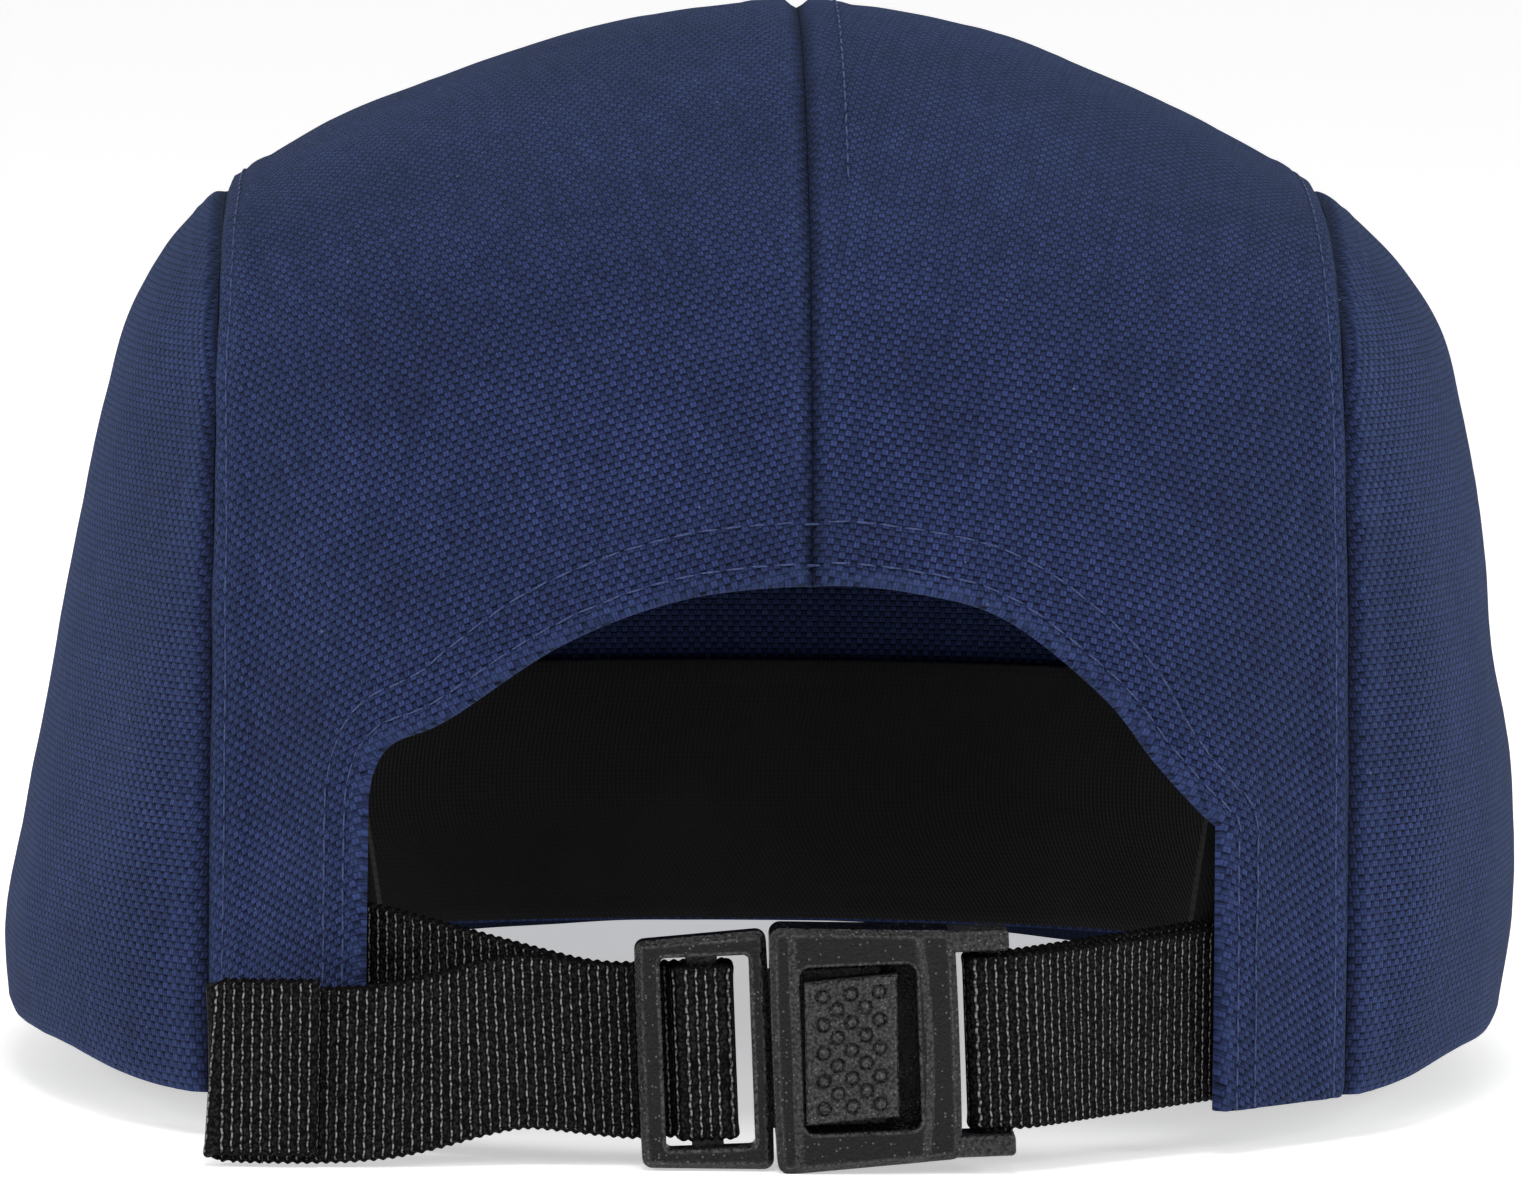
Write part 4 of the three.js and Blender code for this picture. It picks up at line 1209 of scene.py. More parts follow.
@dataclass(frozen=True)
class CanvasFinish:
    """Navy basket-weave canvas."""

    name: str = "navy_canvas"
    cell: float = 0.07
    weft: Colour = (0.0165, 0.0255, 0.08, 1)
    warp: Colour = (0.0245, 0.0375, 0.116, 1)
    # Darkest colour: painted shade in the weave's gaps and in the seam grooves.
    gap: Colour = (0.0008, 0.0013, 0.005, 1)
    faded: Colour = (0.05, 0.078, 0.2, 1)
    relief: float = 0.00022

    def make(self, patterns: Patterns) -> Material:
        """Builds the material."""
        material, t, surface = new_material(self.name)
        cloth = t.cloth()
        place = t.place()
        weave = t.pattern(patterns.basket, Vector=cloth, Cell=self.cell, Fray=0.1)
        wear = t.stored("wear")
        seam_shade = t.stored("seam_shade")
        thread = t.mix(weave.outputs["Weft"], self.warp, self.weft)
        # Painted shade: the colour darkens with the weave's height into the gaps between threads.
        raised = t.ramp(weave.outputs["Height"], 0.05, 0.72, 0.22, 1.0)
        # Painted shade along the top edge of each weft block.
        unshaded_share = t.minus(1.0, t.times(weave.outputs["Gap"], 0.95))
        weave_painted_shade = t.mix(t.times(raised, unshaded_share), self.gap, thread)
        shade = t.ramp(weave.outputs["Shade"], 0.2, 0.8, 0.66, 1.36)
        broad = t.ramp(t.noise(place, 45.0, 3.0), 0.3, 0.7, 0.9, 1.12)
        strength = t.times(shade, broad)
        toned = t.scaled(weave_painted_shade, strength)
        rubbed_and_highlit = t.pattern(patterns.wear, Vector=place, Wear=wear, Scale=700.0)
        pale = t.mix(t.times(rubbed_and_highlit.outputs["Mask"], 0.35), toned, self.faded)
        # Painted shade darkens the seam grooves.
        dark = t.mix(t.times(seam_shade, 0.75), pale, self.gap)
        lint = t.pattern(patterns.specks, Vector=place, Scale=420.0, Share=0.05, Size=0.07)
        colour = t.mix(t.times(lint.outputs["Mask"], 0.5), dark, (0.16, 0.2, 0.3, 1))
        height = t.plus(weave.outputs["Height"], t.times(t.noise(place, 5200.0), 0.25))
        t.feed(surface, {
            "Base Color": colour, "Roughness": 0.86, "Specular IOR Level": 0.1, "Sheen Weight": 0.1,
            "Sheen Roughness": 0.4, "Sheen Tint": (0.36, 0.6, 1.0, 1),
            "Normal": t.bump(height, self.relief, 0.85),
        })
        return material


@dataclass(frozen=True)
class WebbingFinish:
    """Black woven strap with pale cross threads."""

    name: str = "black_webbing"
    base: Colour = (0.001, 0.001, 0.001, 1)
    body: Colour = (0.016, 0.0155, 0.0158, 1)
    thread: Colour = (0.25, 0.238, 0.235, 1)

    def make(self, patterns: Patterns) -> Material:
        """Builds the material."""
        material, t, surface = new_material(self.name)
        cloth = t.cloth()
        place = t.place()
        weave = t.pattern(patterns.webbing, Vector=cloth, Pitch=0.102, Block=0.085)
        twist = t.ramp(t.noise(place, 3000.0, 3.0), 0.32, 0.68, 0.05, 1.2)
        shown = t.times(weave.outputs["Thread"], twist)
        side = t.stored("edge")
        faced = t.times(shown, t.minus(1.0, side))
        fine = t.times(weave.outputs["Block"], t.ramp(t.noise(place, 2400.0, 3.0), 0.4, 0.62, 0.0, 1.0))
        ground = t.mix(fine, self.base, self.body)
        colour = t.mix(faced, ground, self.thread)
        height = t.plus(weave.outputs["Height"], t.times(t.noise(place, 6000.0), 0.2))
        t.feed(surface, {
            "Base Color": colour, "Roughness": 0.6, "Specular IOR Level": 0.05,
            "Normal": t.bump(height, 0.00022, 1.0),
        })
        return material


@dataclass(frozen=True)
class TwillFinish:
    """Black cotton twill of the sweatband."""

    name: str = "black_twill"
    light: Colour = (0.01, 0.01, 0.011, 1)
    dark: Colour = (0.002, 0.002, 0.0025, 1)

    def make(self, patterns: Patterns) -> Material:
        """Builds the material."""
        material, t, surface = new_material(self.name)
        cloth = t.cloth()
        place = t.place()
        weave = t.pattern(patterns.twill, Vector=cloth, Rib=0.055)
        tone = t.mix(t.ramp(weave.outputs["Height"], 0.2, 1.2), self.dark, self.light)
        worn = t.mix(t.ramp(t.noise(place, 60.0, 3.0), 0.45, 0.75, 0.0, 0.35), tone, (0.018, 0.018, 0.02, 1))
        t.feed(surface, {
            "Base Color": worn, "Roughness": 0.9, "Specular IOR Level": 0.2, "Sheen Weight": 0.2,
            "Normal": t.bump(weave.outputs["Height"], 0.0001, 0.8),
        })
        return material


@dataclass(frozen=True)
class PlasticFinish:
    """Black moulded plastic with a fine pale speckle of painted glints, and edges lightened as wear and as
    painted highlight.
    """

    name: str = "black_moulding"
    base: Colour = (0.0012, 0.0012, 0.0012, 1)
    pale: Colour = (0.009, 0.0087, 0.009, 1)
    # Lighter colour of rubbed edges, which also paints highlight on bevels, window edges, ridge slopes, pad
    # and domes.
    rubbed_and_highlit: Colour = (0.105, 0.102, 0.105, 1)
    roughness: float = 0.19

    def make(self, patterns: Patterns) -> Material:
        """Builds the material."""
        material, t, surface = new_material(self.name)
        place = t.place()
        grain = t.pattern(patterns.grain, Vector=place, Scale=3000.0)
        wear = t.stored("wear")
        rubbed_and_highlit = t.pattern(patterns.wear, Vector=place, Wear=wear, Scale=2800.0)
        specks = t.pattern(patterns.specks, Vector=place, Scale=2600.0, Share=0.16, Size=0.3)
        mottled = t.mix(t.ramp(t.noise(place, 4200.0, 3.0), 0.4, 0.7, 0.0, 0.7), self.base, self.pale)
        # Rubbed edges and bevels lightened: wear and painted highlight.
        edge_lightened = t.mix(t.times(rubbed_and_highlit.outputs["Mask"], 0.6), mottled, self.rubbed_and_highlit)
        # Pale specks: painted glints of the moulded grain.
        colour = t.mix(t.times(specks.outputs["Mask"], 0.55), edge_lightened, (0.14, 0.138, 0.14, 1))
        gloss = t.ramp(t.noise(place, 420.0, 3.0), 0.3, 0.7, self.roughness - 0.06, self.roughness + 0.1)
        t.feed(surface, {
            "Base Color": colour, "Roughness": gloss, "Specular IOR Level": 0.23,
            "Normal": t.bump(grain.outputs["Height"], 0.0002, 1.0),
        })
        return material


@dataclass(frozen=True)
class ThreadFinish:
    """Sewing thread with a fine twist."""

    name: str
    light: Colour
    dark: Colour

    def make(self, patterns: Patterns) -> Material:
        """Builds the material."""
        material, t, surface = new_material(self.name)
        place = t.place()
        twist = t.pattern(patterns.grain, Vector=place, Scale=4200.0)
        colour = t.mix(t.ramp(twist.outputs["Height"], 0.35, 0.65), self.dark, self.light)
        t.feed(surface, {
            "Base Color": colour, "Roughness": 0.6, "Specular IOR Level": 0.2, "Sheen Weight": 0.08,
            "Normal": t.bump(twist.outputs["Height"], 0.00008, 0.6),
        })
        return material


# Stitches, domes and ribs by Geometry Nodes


def growing_tree(name: str, inputs: Sequence[Given]) -> tuple[Tree, Node, Node]:
    """An empty geometry tree, whose first input is its carrier."""
    return new_tree(name, "GeometryNodeTree", inputs, [("Made", "Geometry")])


def finish_tree(t: Tree, made: Socket, material: Socket, out: Node, soft: bool = True) -> NodeTree:
    """Ends a geometry tree with real meshes of one material."""
    real = t.add("GeometryNodeRealizeInstances", {0: made}).outputs[0]
    if soft:
        real = t.add("GeometryNodeSetShadeSmooth", {"Geometry": real}).outputs[0]
    done = t.add("GeometryNodeSetMaterial", {"Geometry": real, "Material": material})
    t.feed(out, {0: done.outputs[0]})
    return t.tree


def stitch_tree() -> NodeTree:
    """Stitches at an even pitch along a line, lying on its outward directions."""
    t, given, out = growing_tree(
        "stitch_row",
        [
            ("Seam Line", "Geometry", None), ("Pitch", "Float", 0.0025), ("Length", "Float", 0.002),
            ("Width", "Float", 0.0005), ("Height", "Float", 0.0004), ("Uneven", "Float", 0.07),
            ("Seed", "Int", 1), ("Thread", "Material", None),
        ],
    )
    curve = t.add("GeometryNodeMeshToCurve", {0: given.outputs["Seam Line"]})
    spaced = t.add(
        "GeometryNodeResampleCurve", {"Curve": curve.outputs[0], "Length": given.outputs["Pitch"]},
        mode="LENGTH",
    )
    bead = t.add("GeometryNodeMeshUVSphere", {"Segments": 8, "Rings": 5, "Radius": 0.5})
    sizes = {i: given.outputs[label] for i, label in enumerate(("Length", "Width", "Height"))}
    size = t.add("ShaderNodeCombineXYZ", sizes)
    shaped = t.add("GeometryNodeTransform", {"Geometry": bead.outputs[0], "Scale": size.outputs[0]})
    lift = t.add("GeometryNodeInputNamedAttribute", {"Name": "lift"}, data_type="FLOAT_VECTOR")
    along = t.add("GeometryNodeInputTangent")
    turned = t.add(
        "FunctionNodeAxesToRotation",
        {"Primary Axis": lift.outputs[0], "Secondary Axis": along.outputs[0]},
        primary_axis="Z", secondary_axis="X",
    )
    uneven = given.outputs["Uneven"]
    stray = t.add(
        "FunctionNodeRandomValue", {2: t.times(uneven, -1.0), 3: uneven, "Seed": given.outputs["Seed"]},
        data_type="FLOAT",
    )
    spin = t.add("FunctionNodeAxisAngleToRotation", {"Axis": (0, 0, 1), "Angle": stray.outputs[1]})
    laid = t.add(
        "FunctionNodeRotateRotation", {0: turned.outputs[0], 1: spin.outputs[0]}, rotation_space="LOCAL"
    )
    placed = t.add(
        "GeometryNodeInstanceOnPoints",
        {"Points": spaced.outputs[0], "Instance": shaped.outputs[0], "Rotation": laid.outputs[0]},
    )
    return finish_tree(t, placed.outputs[0], given.outputs["Thread"], out)


def dome_tree() -> NodeTree:
    """Small domes on given points."""
    t, given, out = growing_tree(
        "pad_domes",
        [
            ("Places", "Geometry", None), ("Dome Radius", "Float", 0.00042),
            ("Height", "Float", 0.00032), ("Wear", "Float", 1.0), ("Moulding", "Material", None),
        ],
    )
    ball = t.add(
        "GeometryNodeMeshUVSphere", {"Segments": 12, "Rings": 8, "Radius": given.outputs["Dome Radius"]}
    )
    slim = t.math("DIVIDE", given.outputs["Height"], given.outputs["Dome Radius"])
    flat = t.add("ShaderNodeCombineXYZ", {0: 1.0, 1: 1.0, 2: slim})
    dome = t.add("GeometryNodeTransform", {"Geometry": ball.outputs[0], "Scale": flat.outputs[0]})
    dots = t.add("GeometryNodeMeshToPoints", {"Mesh": given.outputs["Places"]})
    quarter = (-math.pi / 2, 0, 0)
    outward = t.add("GeometryNodeTransform", {"Geometry": dome.outputs[0], "Rotation": quarter})
    placed = t.add(
        "GeometryNodeInstanceOnPoints", {"Points": dots.outputs[0], "Instance": outward.outputs[0]}
    )
    real = t.add("GeometryNodeRealizeInstances", {0: placed.outputs[0]})
    # The domes' wear value lightens them as painted highlight.
    worn = t.add(
        "GeometryNodeStoreNamedAttribute",
        {"Geometry": real.outputs[0], "Name": "wear", "Value": given.outputs["Wear"]},
        data_type="FLOAT", domain="POINT",
    )
    return finish_tree(t, worn.outputs[0], given.outputs["Moulding"], out)


def rib_tree() -> NodeTree:
    """Raises ribs across a strap, by the distance that each vertex has along it."""
    t, given, out = growing_tree(
        "webbing_ribs",
        [
            ("Strap", "Geometry", None), ("Pitch", "Float", 1.02), ("Depth", "Float", 0.00012),
            ("Weave", "Material", None),
        ],
    )
    run = t.add("GeometryNodeInputNamedAttribute", {"Name": "run"}, data_type="FLOAT")
    turns = t.math("DIVIDE", run.outputs[0], given.outputs["Pitch"])
    wave = t.math("COSINE", t.times(turns, 2 * math.pi))
    lift = t.times(wave, t.times(given.outputs["Depth"], -0.5))
    away = t.add("GeometryNodeInputNormal")
    offset = t.scaled(away.outputs[0], lift)
    moved = t.add(
        "GeometryNodeSetPosition", {"Geometry": given.outputs["Strap"], "Offset": offset}
    )
    return finish_tree(t, moved.outputs[0], given.outputs["Weave"], out, soft=False)


def grown(carrier: Piece, tree: NodeTree, values: dict[str, object]) -> Piece:
    """Runs a geometry tree on a carrier and keeps the result as a plain mesh.

    Args:
        carrier: the object that the tree starts from; it is replaced.
        tree: the geometry tree.
        values: the value of each named input.

    Returns:
        A plain mesh object with the carrier's name.
    """
    modifier = carrier.modifiers.new("made", "NODES")
    modifier.node_group = tree
    for socket in tree.interface.items_tree:
        if getattr(socket, "in_out", "") == "INPUT" and socket.name in values:
            modifier[socket.identifier] = values[socket.name]
    depsgraph = bpy.context.evaluated_depsgraph_get()
    mesh = bpy.data.meshes.new_from_object(carrier.evaluated_get(depsgraph))
    name = carrier.name
    old = carrier.data
    bpy.data.objects.remove(carrier)
    bpy.data.meshes.remove(old)
    mesh.name = name
    return show(name, mesh)


@dataclass
class StitchRow:
    """Stitches along one or more lines. Millimetres."""

    name: str
    lines: list[SeamLine]
    datum: Datum
    pitch: float = 2.7
    length: float = 2.4
    width: float = 0.25
    height: float = 0.24
    uneven: float = 0.06
    seed: int = 1

    def make(self, tree: NodeTree, thread: Material, slot: str) -> Piece:
        """Sews the rows."""
        points = np.concatenate([line.points for line in self.lines])
        normals = np.concatenate([line.normals for line in self.lines])
        edges, start = [], 0
        for line in self.lines:
            edges += [(start + i, start + i + 1) for i in range(len(line.points) - 1)]
            start += len(line.points)
        mesh = bpy.data.meshes.new(self.name)
        mesh.from_pydata(self.datum.place(points).tolist(), edges, [])
        lift = mesh.attributes.new("lift", "FLOAT_VECTOR", "POINT")
        lift.data.foreach_set("vector", normals.astype(np.float32).ravel())
        made = grown(show(self.name, mesh), tree, {
            "Pitch": self.pitch * MM, "Length": self.length * MM, "Width": self.width * MM,
            "Height": self.height * MM, "Uneven": self.uneven, "Seed": self.seed, "Thread": thread,
        })
        hand_over(made, slot)
        return made


# Sweatband and peak


@dataclass
class Sweatband:
    """The twill band inside the rim, open at the back arch. Millimetres."""

    crown: CrownForm
    arch: ArchEdge
    datum: Datum
    height: float = 33.0
    thickness: float = 1.4
    rim_inset: float = 0.6
    shows_left: float = 2.6
    shows_right: float = 3.2
    end_slope: float = 0.24
    strap_room: float = 5.3
    behind_shell: float = 2.3
    ramp_degrees: float = 26.0
    cell: float = 1.1

    def depth(self, angle: Array) -> Array:
        """How deep the band lies under the crown's surface."""
        turn = np.abs(np.angle(np.exp(1j * (angle - math.pi / 2))))
        start = math.radians(2 * self.ramp_degrees)
        share = smooth(start, start + math.radians(self.ramp_degrees), turn)
        return self.behind_shell + self.strap_room * (1 - share)

    def make(self, material: Material) -> Piece:
        """Lays the band from its left end round the front to its right end."""
        crown = self.crown
        rows = int(self.height / self.cell)
        heights = np.linspace(self.rim_inset, self.height, rows)
        places = crown.place_at(heights)
        low, span = -self.height, 3 * self.height
        lean = self.end_slope * self.height * (2 * (heights - low) / span - 1)
        left = self.arch.left_reach - self.shows_left + lean
        right = -self.arch.right_reach + self.shows_right - lean
        room = self.behind_shell + self.strap_room
        start = crown.angle_at(left, places, room)
        end = crown.angle_at(right, places, room) - 2 * math.pi
        count = int(470 / self.cell)
        share = np.linspace(0, 1, count)
        angles = start[:, None] + (end - start)[:, None] * share
        grid_place = np.broadcast_to(places[:, None], angles.shape)
        depth = self.depth(angles)
        grid = crown.inset(angles, grid_place, depth)
        out = crown.normal(angles, grid_place)
        along = run_length(np.swapaxes(grid, 0, 1)).T
        to_end = np.minimum(along, along[:, -1:] - along)
        to_edge = np.minimum(heights - heights[0], heights[-1] - heights)[:, None] + 0 * along
        wave = 0.16 * ripple(along, np.broadcast_to(heights[:, None], along.shape), 12.0, 41)
        fold = bell(to_end, 0.7) + bell(to_edge, 0.7)
        ditch = 0.14 * (bell(to_end - 3.0, 0.5) + bell(to_edge - 2.6, 0.5))
        outer = grid + out * (wave - 0.35 * fold - ditch)[..., None]
        inner = grid - out * (self.thickness - wave - 0.3 * fold - ditch)[..., None]
        index = np.arange(angles.size).reshape(angles.shape)
        vertices, faces = closed_shell(outer.reshape(-1, 3), inner.reshape(-1, 3), grid_faces(index))
        uv = np.stack([along, np.broadcast_to(heights[:, None], along.shape)], -1).reshape(-1, 2)
        both_sides = np.tile(uv * UV_UNIT, (2, 1))
        made = make_object(
            "twill_sweatband", self.datum.place(vertices), faces, both_sides, material=material
        )
        hand_over(made, "twill", "sweatband")
        return made


@dataclass
class Peak:
    """The stiff canvas peak, plain because the photograph hides it. Millimetres."""

    crown: CrownForm
    datum: Datum
    length: float = 66.0
    half_width: float = 77.5
    thickness: float = 3.2
    root_above: float = 1.4
    tip_drop: float = 2.6
    root_degrees: float = 52.0
    edge_round: float = 0.9
    seat_gap: float = 0.3
    columns: int = 150
    rows: int = 56
    stitch_inset: float = 4.0

    def plan(self, share: Array) -> tuple[Array, Array]:
        """Root and outer edge of the peak at shares of its width, in plan."""
        crown = self.crown
        turn = math.radians(self.root_degrees)
        rim = np.zeros(np.shape(share))
        root = crown.inset(-math.pi / 2 + turn * (2 * share - 1), rim, -self.seat_gap)
        corner = crown.inset(np.array([-math.pi / 2 + turn]), np.zeros(1), -self.seat_gap)[0, 1]
        sweep = math.pi / 2 * (2 * share - 1)
        reach = crown.front_reach + self.seat_gap + self.length + corner
        x, y = crown.rim_middle + self.half_width * np.sin(sweep), corner - reach * np.cos(sweep)
        outer = np.stack([x, y, 0 * sweep], -1)
        return root * [1, 1, 0], outer

    def fall(self, points: Array) -> Array:
        """How far the peak drops in front of the crown."""
        forward = np.maximum(0, -points[..., 1] - self.crown.front_reach) / self.length
        return self.tip_drop * forward**2

    def curve(self) -> float:
        """Drop of the middle plane at the corners, which just stand on the floor."""
        root, outer = self.plan(np.linspace(0, 1, 37))
        share = np.linspace(0, 1, 8)[:, None, None]
        points = root + (outer - root) * share
        across = ((points[..., 0] - self.crown.rim_middle) / self.half_width) ** 2
        spare = self.crown.rim_height + self.root_above - self.thickness / 2 - self.fall(points)
        return float((spare / across)[across > 0.05].min())

    def lay(self, points: Array, curve: float, rise: Array | float) -> Array:
        """Lifts points of the plan onto the peak's middle plane and off it."""
        across = ((points[..., 0] - self.crown.rim_middle) / self.half_width) ** 2
        height = self.crown.rim_height + self.root_above - curve * across - self.fall(points) + rise
        return np.stack([points[..., 0], points[..., 1], height], -1)

    def make(self, material: Material) -> tuple[Piece, SeamLine]:
        """Builds the board with its rounded edge, and the line of its edge stitching."""
        share = np.linspace(0, 1, self.columns)
        root, outer = self.plan(share)
        curve = self.curve()
        span = np.linalg.norm(outer - root, axis=-1)
        half, bend = self.thickness / 2, self.edge_round
        turns = np.radians([0, 22, 45, 68, 90])
        inset = np.minimum(bend / span, 0.25)
        loops = []
        flat = np.linspace(0, 1, self.rows)
        for at in flat:
            loops.append(((1 - inset) * at, half))
        for turn in turns[1:]:
            loops.append((1 - inset * (1 - math.sin(turn)), half - bend * (1 - math.cos(turn))))
        loops += [(at, -rise) for at, rise in loops[::-1]]
        rings, uv = [], []
        for at, rise in loops:
            plan = root + (outer - root) * np.reshape(at, (-1, 1))
            depth = 0.0
            if rise in (half, -half):
                from_edge = (1 - at) * span
                ditch = 0.25 * bell(from_edge - self.stitch_inset, 0.5)
                depth = -np.sign(rise) * (ditch - 0.08 * ripple(plan[:, 0], plan[:, 1], 9.0, 31))
            rings.append(self.lay(plan, curve, rise + depth))
            uv.append(plan[:, :2] * [1, 1 if rise > 0 else -1])
        across = np.swapaxes(np.array(rings), 0, 1)
        vertices, faces = stacked_loops(list(across), True, True)
        flat_uv = np.swapaxes(np.array(uv), 0, 1).reshape(-1, 2) * UV_UNIT
        edge = np.array([1.0 if abs(rise) < half else 0.0 for _, rise in loops])
        made = make_object(
            "canvas_peak", self.datum.place(vertices), faces, flat_uv,
            {"wear": np.tile(edge * 0.6, self.columns), "seam_shade": np.zeros(len(vertices))},
            material=material,
        )
        hand_over(made, "canvas", "peak")
        keep = span > 3 * self.stitch_inset
        line = outer + (root - outer) * (self.stitch_inset / span)[:, None]
        laid = self.lay(line, curve, half - 0.05)[keep]
        return made, SeamLine(laid, np.tile([0.0, 0.0, 1.0], (len(laid), 1)))


# Buckle


def rounded_loop(start: float, start_height: float, end: float, end_height: float, corner: float,
                 inset: float = 0.0, bow: float = 0.0) -> Array:
    """A closed loop of a tapered plate with round corners, in X and Z.

    Args:
        start: X of the first upright side.
        start_height: height of that side.
        end: X of the other side.
        end_height: height of that side.
        corner: radius of the corners.
        inset: how far the loop is moved inwards; negative moves it out.
        bow: how far each upright side swells at its middle.

    Returns:
        Points, counter-clockwise when seen along +Y.
    """
    low, high = start + inset, end - inset
    radius = max(corner - inset, 0.05)
    slope = (end_height - start_height) / 2 / (end - start)

    def half_at(x: float) -> float:
        """Half of the height at an X."""
        return start_height / 2 + slope * (x - start) - inset

    corners = [
        (high - radius, half_at(high) - radius, 0.0),
        (low + radius, half_at(low) - radius, 90.0),
        (low + radius, -half_at(low) + radius, 180.0),
        (high - radius, -half_at(high) + radius, 270.0),
    ]
    arcs = []
    for x, z, from_degrees in corners:
        turn = np.radians(from_degrees + np.linspace(0, 90, 7))
        arcs.append(np.stack([x + radius * np.cos(turn), z + radius * np.sin(turn)], -1))
    points = []
    for k, arc in enumerate(arcs):
        points.append(arc)
        begin, stop = arc[-1], arcs[(k + 1) % 4][0]
        steps = 46 if k % 2 == 0 else 56
        share = np.linspace(0, 1, steps + 2)[1:-1, None]
        points.append(begin + (stop - begin) * share)
    found = np.concatenate(points)
    middle, reach = (low + high) / 2, (high - low) / 2
    tall = max(half_at(low), half_at(high))
    swell = bow * (1 - (found[:, 1] / tall) ** 2) * smooth(0.6, 1.0, np.abs(found[:, 0] - middle) / reach)
    found[:, 0] += np.sign(found[:, 0] - middle) * swell
    return found


@dataclass(frozen=True)
class BuckleLie:
    """How the buckle lies on the cap, drawn round its junction with X towards the wearer's left."""

    junction_x: float = 4.2
    plane_y: float = 94.5
    turn_degrees: float = 2.6
    half_gap: float = 0.2
    adjuster_length: float = 14.2
    adjuster_inner: float = 25.6
    adjuster_outer: float = 24.4
    socket_inner: float = 26.4

    @property
    def height(self) -> float:
        """Height of the junction's middle, with the lowest corner on the floor."""
        turn = math.radians(self.turn_degrees)
        corners = (
            (self.adjuster_length, self.adjuster_outer / 2),
            (self.half_gap, self.adjuster_inner / 2),
            (-self.half_gap, self.socket_inner / 2),
        )
        return max(along * math.sin(turn) + down * math.cos(turn) for along, down in corners)

    def place(self, points: Array) -> Array:
        """Turns points of the drawing into points round the crown's centre."""
        points = np.asarray(points, float)
        turn = math.radians(self.turn_degrees)
        x, y, z = points[..., 0], points[..., 1], points[..., 2]
        across = x * math.cos(turn) + z * math.sin(turn) + self.junction_x
        up = -x * math.sin(turn) + z * math.cos(turn) + self.height
        return np.stack([across, y + self.plane_y, up], -1)


class Moulding:
    """Collects moulded bodies of the buckle, drawn as stacks of loops."""

    def __init__(self) -> None:
        """Starts empty."""
        self.vertices: list[Array] = []
        self.faces: list[list[int]] = []
        self.wear: list[Array] = []

    def add(self, loops: list[LevelLoop], close_start: bool, close_end: bool, ring: bool = False) -> None:
        """Adds a body.

        Args:
            loops: X and Z of each loop, its Y, and how rubbed it is, which lightens it as wear and as
                painted highlight.
            close_start: whether the first loop is capped.
            close_end: whether the last loop is capped.
            ring: whether the last loop joins the first.
        """
        rings = [
            np.stack([loop[:, 0], np.broadcast_to(y, len(loop)), loop[:, 1]], -1) for loop, y, _ in loops
        ]
        vertices, faces = stacked_loops(rings, close_start, close_end, ring)
        start = sum(len(part) for part in self.vertices)
        self.faces += [[start + i for i in face] for face in faces]
        self.vertices.append(vertices)
        self.wear += [np.broadcast_to(worn, len(loop)) for loop, _, worn in loops]

    def join(self, vertices: Array, faces: Array, worn: Array) -> None:
        """Adds a finished closed body."""
        start = sum(len(part) for part in self.vertices)
        self.faces += (faces + start).tolist()
        self.vertices.append(vertices)
        self.wear.append(worn)

    def block(self, middle: Sequence[float], size: Sequence[float], bend: float = 0.25) -> None:
        """Adds a block with rounded edges."""
        x, y, z = middle
        wide, deep, tall = (value / 2 for value in size)
        loops = []
        for turn in np.radians([90, 60, 30, 0]):
            loops.append((bend * (1 - math.cos(turn)), y + deep - bend * (1 - math.sin(turn))))
        loops += [(inset, 2 * y - level) for inset, level in loops[::-1]]
        shaped = []
        for inset, level in loops:
            loop = rounded_loop(x - wide, 2 * tall, x + wide, 2 * tall, max(bend, 0.06), inset)
            shaped.append((loop + [0, z], level, 0.6))
        self.add(shaped, True, True)

    def finish(self, name: str, lie: BuckleLie, datum: Datum, material: Material) -> Piece:
        """Makes the mesh object."""
        vertices = np.concatenate(self.vertices)
        return make_object(
            name, datum.place(lie.place(vertices)), self.faces,
            attributes={"wear": np.concatenate(self.wear)}, sharp_degrees=40, material=material,
        )


def rounded_edge(
    outline: Callable[[float], Array], level: float, bend: float, towards: int, worn: float,
) -> list[LevelLoop]:
    """Loops over a window's rounded edge, from its wall to the face (1) or the other way (-1)."""
    turns = np.radians([0, 30, 60, 90])[::towards]
    step = math.copysign(bend, level)
    return [(outline(-bend * (1 - math.cos(t))), level - step * (1 - math.sin(t)), worn) for t in turns]


def chamfered_section(
    outline: Callable[[float], Array], cut: float, front: float, back: float,
) -> list[LevelLoop]:
    """Loops from inside the front face, over a chamfered edge, to inside the back face."""
    # The third number of each step lightens the chamfer's edges, as wear and as painted highlight.
    steps = ((cut + 0.3, 0.0, 0.0), (cut + 0.1, 0.0, 0.5), (cut - 0.02, 0.05, 1.0), (cut - 0.14, 0.17, 0.35),
             (0.14, cut - 0.1, 0.35), (0.04, cut, 1.0), (0.0, cut + 0.12, 0.6), (0.0, cut + 0.3, 0.0))
    loops = [(outline(inset), front - drop, worn) for inset, drop, worn in steps]
    loops += [(outline(inset), back + drop, worn) for inset, drop, worn in steps[::-1]]
    return loops


